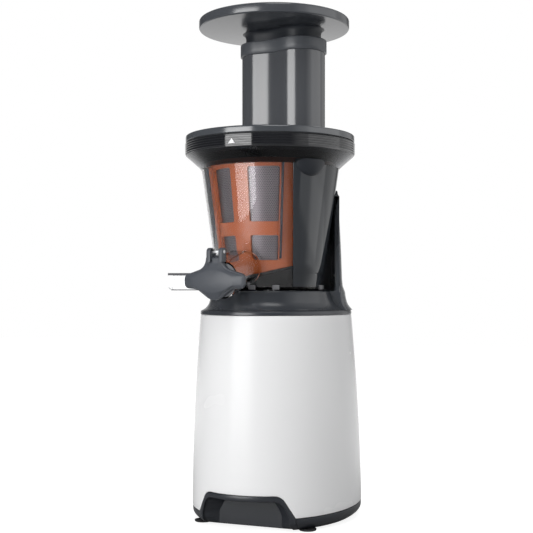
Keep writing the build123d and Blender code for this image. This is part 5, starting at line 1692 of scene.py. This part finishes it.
def tube():
    """The tall feed tube, standing on the lid with a small root fillet and a broad lip."""
    foot = LID_TOP + 0.02
    fillet_top = LID_TOP + FEED_ROOT
    steps = [(foot, FEED_ROOT), (LID_TOP + 0.3, 0.5), (fillet_top, 0.0)]
    for index in range(1, 16):
        steps.append((fillet_top + (FEED_LIP_BOTTOM - LID_TOP - FEED_ROOT) * index / 16, 0.0))
    steps += [
        (FEED_LIP_BOTTOM, 0.0), (FEED_LIP_BOTTOM + 0.05, FEED_LIP_PROUD - 0.4),
        (FEED_LIP_BOTTOM + 0.4, FEED_LIP_PROUD), (FEED_LIP_MIDDLE, FEED_LIP_PROUD),
    ]
    for rise, short in quarter(4):
        steps.append((FEED_TOP - FEED_LIP_ROUND + FEED_LIP_ROUND * rise,
                      FEED_LIP_PROUD - FEED_LIP_ROUND * short))
    steps += [(FEED_TOP, -FEED_WALL + 0.8), (FEED_TOP - 0.8, -FEED_WALL)]
    for index in range(1, 9):
        steps.append((FEED_TOP - 0.8 + (foot - FEED_TOP + 0.8) * index / 8, -FEED_WALL))
    points, faces = strip(feed_rows(steps), closed_rows=True)
    made = piece("feed_tube_wall", points, faces, TUBE_GLOSS, None, crease=50)
    paint_above(made, FEED_LIP_BOTTOM - 0.1, LIP_SATIN)
    dress(made, "lid_unit", ["feed_tube"], "smoked_gloss")


def pusher():
    """The pusher: a hollow stem that fits the tube, spreading into a broad round cap."""
    fit = -FEED_WALL - PUSHER_GAP
    steps = [(STEM_BOTTOM, fit - 1.6), (STEM_BOTTOM + 0.3, fit - 0.6), (STEM_BOTTOM + 1.2, fit)]
    for index in range(1, 12):
        steps.append((STEM_BOTTOM + 1.2 + (STEM_STRAIGHT_TOP - STEM_BOTTOM) * index / 12, fit))
    for rise, short in quarter(8, 1):
        steps.append((STEM_FLARE_Z + STEM_FLARE_HEIGHT * rise, fit + STEM_FLARE_OUT * short))
    points, faces = capped(feed_rows(steps))
    # the stem's darker finish is painted shade where the cap overhangs it
    piece("pusher_body", points, faces, SHADE_DARK, "pusher", ["pusher_stem"], "slate_trim", 60)

    foot, rim = PUSHER_FOOT_ROUND, PUSHER_RIM_ROUND
    profile = [(0.0, PUSHER_BOTTOM)]
    for rise, short in quarter(5):
        profile.append((PUSHER_RADIUS - foot + foot * rise, PUSHER_BOTTOM + foot * short))
    for rise, short in quarter(6):
        profile.append((PUSHER_RADIUS - rim * short, PUSHER_TOP - rim * (1 - rise)))
    crown = PUSHER_RADIUS - rim
    for step in range(1, 17):
        share = step / 16
        dome = PUSHER_DOME * (1 - (1 - share) ** 2) * 0.98
        profile.append((crown * (1 - share), PUSHER_TOP + dome))
    points, faces = lathe(profile, centre=(PUSHER_X, PUSHER_Y))
    piece("pusher_disc", points, faces, PUSHER_SATIN, "pusher", ["pusher_cap"], "slate_trim", 60)


casing()
recess_lining()
base_tray()
deck()
column()
switch_and_gland()
small_rings()
clear_bowl()
back_panel()
collar()
bowl_foot()
lock_lugs()
chute()
stopper()
strainer()
screw()
lid_plate()
tube()
pusher()

# ---------------------------------------------------------------------------- parts inside
INSIDE = {
    "base_screws": STEEL,
    "motor_stator": LAMINATIONS,
    "motor_windings": COPPER,
    "motor_lower_bracket": CAST,
    "motor_upper_bracket": CAST,
    "motor_bearings": STEEL,
    "motor_mounts": RUBBER,
    "rotor_shaft": STEEL,
    "rotor_core": LAMINATIONS,
    "cooling_fan": COMPONENT,
    "motor_pinion": STEEL,
    "stage_gear": NYLON,
    "counter_pinion": STEEL,
    "counter_shaft": STEEL,
    "output_gear": NYLON,
    "drive_spindle": STEEL,
    "gearbox_housing": CAST,
    "gearbox_cover": CAST,
    "gearbox_screws": STEEL,
    "counter_bushes": BRONZE,
    "spindle_bearings": STEEL,
    "control_board": BOARD,
    "run_capacitor": COMPONENT,
    "interlock_switch": COMPONENT,
    "drive_socket": STEEL,
}
for name, material in INSIDE.items():
    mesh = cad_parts[name].data
    mesh.materials.clear()
    mesh.materials.append(material)

# ---------------------------------------------------------------------------- camera, light, floor
# Lengths from here on are in metres.
CAMERA_AZIMUTH = 22.0
CAMERA_REACH = 0.966
EYE_HEIGHT = 0.203
FOCAL_PIXELS = 1077.0
FRAME_PIXELS = 533.0
AXIS_PIXEL = 270.0
HORIZON_PIXEL = 291.0
SENSOR_WIDTH = 36.0
LAMP_TARGET_Z = 0.24
LAMPS = (  # name, azimuth, elevation, reach, width, height, power
    ("left_softbox", -20, 6, 1.4, 0.9, 0.8, 12.6),
    ("right_softbox", 100, 6, 1.5, 1.5, 1.2, 3.6),
    ("front_softbox", 30, 50, 1.6, 0.8, 0.8, 6.8),
    ("top_softbox", 195, 62, 1.5, 1.1, 1.1, 6.0),
)
AMBIENT = 0.48  # the room's own strength
ROOM_BACK = (0.88, 0.98)  # where the mirrored room turns white, by the view's cosine
ROOM_SIDE = (0.35, 0.75)
SIDE_STRENGTH = 0.75
DIM_STRENGTH = 0.08
FLOOR_HALF = 3.0
FLOOR_COLOR = (0.32, 0.32, 0.32, 1)
FLOOR_GLOW = 0.86


def camera():
    """The camera, level with the motor base's top and turned towards the drive axis."""
    data = bpy.data.cameras.new("camera")
    data.sensor_width = SENSOR_WIDTH
    data.lens = data.sensor_width * FOCAL_PIXELS / FRAME_PIXELS
    data.shift_x = (FRAME_PIXELS / 2 - AXIS_PIXEL) / FRAME_PIXELS
    data.shift_y = (HORIZON_PIXEL - FRAME_PIXELS / 2) / FRAME_PIXELS
    made = bpy.data.objects.new("camera", data)
    angle = math.radians(CAMERA_AZIMUTH)
    x = AXIS_X + CAMERA_REACH * math.sin(angle)
    y = AXIS_Y - CAMERA_REACH * math.cos(angle)
    made.location = (x, y, EYE_HEIGHT)
    made.rotation_euler = (math.pi / 2, 0, angle)
    bpy.context.scene.collection.objects.link(made)
    bpy.context.scene.camera = made


def lamp(name, azimuth, elevation, reach, width, height, power):
    """A soft rectangular lamp that faces the bowl."""
    data = bpy.data.lights.new(name, "AREA")
    data.shape = "RECTANGLE"
    data.size = width
    data.size_y = height
    data.energy = power
    made = bpy.data.objects.new(name, data)
    around = math.radians(azimuth)
    up = math.radians(elevation)
    target = Vector((AXIS_X, AXIS_Y, LAMP_TARGET_Z))
    made.location = target + reach * Vector(
        (math.sin(around) * math.cos(up), -math.cos(around) * math.cos(up), math.sin(up))
    )
    made.rotation_euler = (target - made.location).to_track_quat("-Z", "Y").to_euler()
    bpy.context.scene.collection.objects.link(made)


def seen(tree):
    """Two masks: rays from the camera or through clear pieces, and mirrored rays."""
    path = node(tree, "ShaderNodeLightPath")
    camera_ray, through = path.outputs["Is Camera Ray"], path.outputs["Is Transmission Ray"]
    return calculate(tree, "MAXIMUM", camera_ray, through), path.outputs["Is Glossy Ray"]


def step_between(tree, value, low, high):
    """Runs smoothly from 0 at low to 1 at high."""
    ramp = node(tree, "ShaderNodeMapRange", interpolation_type="SMOOTHSTEP")
    ramp.inputs["From Min"].default_value = low
    ramp.inputs["From Max"].default_value = high
    tree.links.new(value, ramp.inputs["Value"])
    return ramp.outputs["Result"]


def studio():
    """A white room behind, a dim side towards the camera, and soft lamps at a plain level."""
    world = bpy.data.worlds.new("studio")
    bpy.context.scene.world = world
    world.use_nodes = True
    tree = world.node_tree
    backdrop = tree.nodes["Background"]
    backdrop.inputs["Color"].default_value = (1, 1, 1, 1)
    place = place_parts(tree, "Generated")
    angle = math.radians(CAMERA_AZIMUTH)
    forward = weighed(tree, place[0], -math.sin(angle), place[1], math.cos(angle))
    sideways = weighed(tree, place[0], math.cos(angle), place[1], math.sin(angle))
    behind = step_between(tree, forward, *ROOM_BACK)
    right = calculate(tree, "MULTIPLY", step_between(tree, sideways, *ROOM_SIDE), SIDE_STRENGTH)
    brightest = calculate(tree, "MAXIMUM", behind, right)
    mirrored = calculate(tree, "MAXIMUM", brightest, DIM_STRENGTH)
    direct, glossy = seen(tree)
    beyond = calculate(tree, "SUBTRACT", mirrored, AMBIENT)
    strength = weighed(tree, direct, 1 - AMBIENT, glossy, beyond)
    strength = calculate(tree, "ADD", strength, AMBIENT)
    tree.links.new(strength, backdrop.inputs["Strength"])
    for settings in LAMPS:
        lamp(*settings)


def pale_floor():
    """The floor: seen as near white, and still holding the juicer's shadow."""
    half = FLOOR_HALF
    mesh = bpy.data.meshes.new("floor")
    corners = [(-half, -half, 0), (half, -half, 0), (half, half, 0), (-half, half, 0)]
    mesh.from_pydata(corners, [], [(0, 1, 2, 3)])
    material = bpy.data.materials.new("pale_floor")
    material.use_nodes = True
    tree = material.node_tree
    shader = tree.nodes["Principled BSDF"]
    shader.inputs["Base Color"].default_value = FLOOR_COLOR
    shader.inputs["Roughness"].default_value = 0.9
    shader.inputs["Emission Color"].default_value = (1, 1, 1, 1)
    direct, glossy = seen(tree)
    behind = step_between(tree, place_parts(tree, "Object")[1], 0.0, 0.5)
    share = calculate(tree, "MAXIMUM", direct, calculate(tree, "MULTIPLY", glossy, behind))
    glow = calculate(tree, "MULTIPLY", share, FLOOR_GLOW)
    tree.links.new(glow, shader.inputs["Emission Strength"])
    mesh.materials.append(material)
    floor = bpy.data.objects.new("floor", mesh)
    bpy.context.scene.collection.objects.link(floor)


camera()
studio()
pale_floor()
bpy.context.scene.view_settings.view_transform = "Standard"

bpy.context.view_layer.update()
